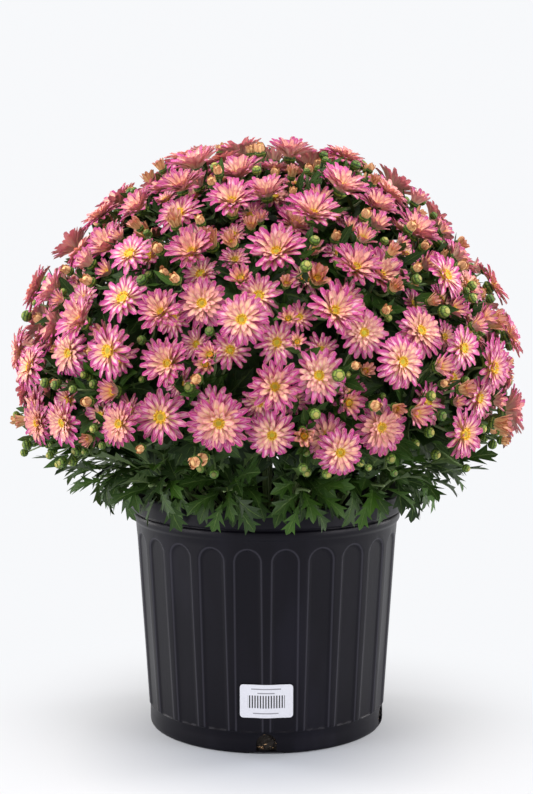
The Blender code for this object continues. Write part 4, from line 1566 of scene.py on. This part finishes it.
# %% Pot finish and piece
def panel_edge(x, y, z):
    """1 along the outline of each arched panel, where the moulding leaves a fine raised line."""
    turn = x.math("ARCTAN2", y * -1.0)
    off = turn.math("DIVIDE", PITCH).math("FRACT") - 0.5
    sideways = off * PITCH * (z * LAND_LEAN + land_radius(0.0))
    rise = (z - ARCH_MIDDLE).most(0.0)
    depth = sideways.joined(rise).length() * -1.0 + HALF_WIDTH
    return (depth - 0.0003).size().fade(0.0014, 0.0002) * z.above(PANEL_FOOT)


def plastic_finish():
    paint, tree = new_paint("pot_plastic")
    place = object_place(tree)
    x, y, z = place.axes()
    fine = place.grain(900.0)
    drawn = place.grain(420.0, 2.0, (1.0, 1.0, 0.02))
    smears = place.grain(22.0, 4.0, (1.0, 1.0, 0.35))
    dust = smears.fade(0.45, 0.80) * (z.fade(0.030, 0.0) * 0.5 + 0.5)
    edge = panel_edge(x, y, z)
    black = (dust * 0.4).blend(tone(8, 7, 14), tone(38, 37, 52))
    # Painted highlight: the fine raised line round each panel is painted paler grey.
    colour = (edge * 0.32).blend(black, tone(74, 73, 84))
    height = drawn * 0.35 + fine * 0.3 + edge
    return finished(paint, colour, dust * 0.20 + fine * 0.10 + 0.33, height, 0.22, 0.0006,
                    {"Specular IOR Level": 0.17, "Specular Tint": (0.90, 0.89, 1.0, 1.0)})


def make_pot():
    bm = spin_pot()
    press_panels(bm)
    pot = put_in_scene("pot_shell", mesh_from(bm, "pot_shell"))
    cut(pot, drain_cutters())
    pot.data.shade_smooth()
    pot.data.set_sharp_from_angle(angle=math.radians(38))
    pot.data.materials.clear()
    pot.data.materials.append(plastic_finish())
    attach(pot, "root")
    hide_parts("pot")
    print("faces in the pot:", len(pot.data.polygons))


make_pot()

# %% [markdown]
# ## Potting soil and bark
# The root ball keeps its measured solid and only gets a bark finish. Loose bits of bark lie on
# its top and show in the drain holes: small chips, each a squashed icosphere with its points
# moved a little. A few of them are pale splinters, as freshly broken bark is.

# %% Bark finish
def bark_finish():
    paint, tree = new_paint("bark")
    place = object_place(tree)
    crumbs = place.grain(260.0, 6.0)
    brown = crumbs.blend(tone(6, 4, 3), tone(34, 24, 17))
    colour = place.grain(170.0, 3.0).fade(0.64, 0.72).blend(brown, tone(136, 104, 76))
    return finished(paint, colour, crumbs * 0.2 + 0.75, place.cells(160.0) + crumbs, 0.9, 0.0030)


def splinter_finish():
    paint, tree = new_paint("pale_bark")
    fibres = object_place(tree).grain(500.0, 3.0, (1.0, 1.0, 0.25))
    colour = fibres.blend(tone(120, 84, 54), tone(206, 170, 128))
    return finished(paint, colour, fibres * 0.2 + 0.65, fibres, 0.6, 0.0008)


bark_paint = bark_finish()
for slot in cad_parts["soil"].material_slots:
    slot.link = "OBJECT"
    slot.material = bark_paint
print("the soil wears:", bark_paint.name)

# %% Bark chips
CHIPS_ON_SOIL = 150
SOIL_CHIPS_RADIUS = 0.118
SOIL_CHIP_SIZES = (0.003, 0.007)
CHIPS_IN_HOLE = 26
HOLE_CHIP_SIZES = (0.0010, 0.0022)
HOLE_CHIP_HEIGHTS = (0.004, 0.020)
HOLE_HALF_TURN = 0.085
SPLINTER_CHANCE = 0.12


def add_chip(bm, place, size, draw):
    made = bmesh.ops.create_icosphere(bm, subdivisions=1, radius=size)["verts"]
    splinter = draw.random() < SPLINTER_CHANCE
    shape = Matrix.Diagonal((1.0, draw.uniform(0.5, 0.9), draw.uniform(0.3, 0.5), 1.0))
    if splinter:
        shape = Matrix.Diagonal((1.5, 0.26, 0.18, 1.0))
        for face in {face for vert in made for face in vert.link_faces}:
            face.material_index = 1
    turn = draw.uniform(0, 6.28)
    axis = Vector([draw.uniform(-1, 1) for _ in range(3)]).normalized()
    for vert in made:
        vert.co *= draw.uniform(0.75, 1.15)
    spin = Matrix.Rotation(turn, 4, axis)
    bmesh.ops.transform(bm, matrix=Matrix.Translation(place) @ spin @ shape, verts=made)


def make_chips():
    draw = random.Random(5)
    bm = bmesh.new()
    for _ in range(CHIPS_ON_SOIL):
        radius = SOIL_CHIPS_RADIUS * math.sqrt(draw.random())
        place = polar(radius, draw.uniform(0, 6.28), SOIL_CROWN + 0.0005)
        add_chip(bm, place, draw.uniform(*SOIL_CHIP_SIZES), draw)
    for degrees in DRAIN_TURNS:
        for _ in range(CHIPS_IN_HOLE):
            turn = math.radians(degrees) + draw.uniform(-HOLE_HALF_TURN, HOLE_HALF_TURN)
            height = draw.uniform(*HOLE_CHIP_HEIGHTS)
            place = polar(inner_radius(height) + 0.0002, turn, height)
            add_chip(bm, place, draw.uniform(*HOLE_CHIP_SIZES), draw)
    new_piece(bm, "bark_chips", (bark_paint, splinter_finish()))


make_chips()
print("bark on the soil and in the drain holes")

# %% [markdown]
# ## The sticker
# A small white sticker is stuck over the middle land, and its sides sink towards the panels. It
# is one flat face with its corners rounded by a vertex bevel, sliced upright so that it can
# follow the pot, and thickened. Its print is generic: even bars and plain grey lines.

# %% Sticker
LABEL_WIDTH = 0.0510
LABEL_HEIGHT = 0.0330
LABEL_MIDDLE = 0.0534
LABEL_CORNER = 0.0032
LABEL_THICKNESS = 0.0006
LABEL_SLICES = 24
# How far the sticker sinks at each distance from its middle line
LABEL_SINK = ((0.0, 0.0), (0.0035, 0.0), (0.013, 0.0016), (0.0225, 0.0026), (0.0255, 0.0030))
TOUCH_GAP = 0.0003


def make_label():
    bm = bmesh.new()
    corners = upright_card(bm, LABEL_WIDTH, -LABEL_HEIGHT / 2, LABEL_HEIGHT / 2, 0)
    round_off(bm, corners, LABEL_CORNER)
    for k in range(1, LABEL_SLICES):
        x = LABEL_WIDTH * (k / LABEL_SLICES - 0.5)
        bmesh.ops.bisect_plane(bm, geom=bm.verts[:] + bm.edges[:] + bm.faces[:], plane_co=(x, 0, 0),
                               plane_no=(1, 0, 0))
    for vert in bm.verts:
        vert.co.y = 0.0
    bmesh.ops.recalc_face_normals(bm, faces=bm.faces[:])
    bmesh.ops.solidify(bm, geom=bm.faces[:], thickness=LABEL_THICKNESS)
    levels = sorted({round(vert.co.y, 6) for vert in bm.verts})
    print("sticker levels:", levels)
    for vert in bm.verts:
        x, y, z = vert.co
        height = LABEL_MIDDLE + z
        sink = np.interp(abs(x), *zip(*LABEL_SINK))
        lift = LABEL_THICKNESS if y < sum(levels) / 2 else 0.0
        vert.co = Vector((x, -(land_radius(height) + TOUCH_GAP - sink + lift), height))
    return bm


# %% Paper and its print
BAR_STEP = 0.0026
# Left, right, foot, top
BARS = (-0.0182, 0.0176, 0.0466, 0.0592)
GREY_LINES = ((-0.0147, 0.0140, 0.0650, 0.0661), (-0.0087, 0.0079, 0.0609, 0.0620),
              (-0.0130, 0.0116, 0.0408, 0.0419))


def paper_finish():
    paint, tree = new_paint("sticker_paper")
    place = object_place(tree)
    x, _, z = place.axes()

    def box(left, right, foot, top):
        """1 inside a box on the sticker."""
        across = x.above(left) * x.math("LESS_THAN", right)
        return across * z.above(foot) * z.math("LESS_THAN", top)

    stripe = (x + 0.1).math("DIVIDE", BAR_STEP).math("FRACT")
    ink = stripe.math("LESS_THAN", 0.5) * box(*BARS)
    for line in GREY_LINES:
        ink = ink.most(box(*line) * 0.65)
    fibres = place.grain(700.0, 3.0)
    white = fibres.blend(tone(204, 206, 218), tone(222, 224, 235))
    colour = ink.blend(white, tone(40, 41, 48))
    return finished(paint, colour, fibres * 0.15 + 0.38, fibres, 0.10, 0.0003)


sticker = new_piece(make_label(), "sticker", (paper_finish(),), ["label"])
sticker.data.set_sharp_from_angle(angle=math.radians(40))
print("faces in the sticker:", len(sticker.data.polygons))

# %% [markdown]
# ## The two boxes
# The dressed plant should stay inside the measured box. Both boxes are printed.

# %% Sizes and finish
new_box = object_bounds()
for name, box in (("measured", cad_box), ("dressed", new_box)):
    print(name, [[round(value * 1000, 1) for value in corner] for corner in box])
added = [piece.data for piece in bpy.data.objects
         if piece.type == "MESH" and piece.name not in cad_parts]
print("triangles added:", sum(len(face.vertices) - 2 for mesh in added for face in mesh.polygons))
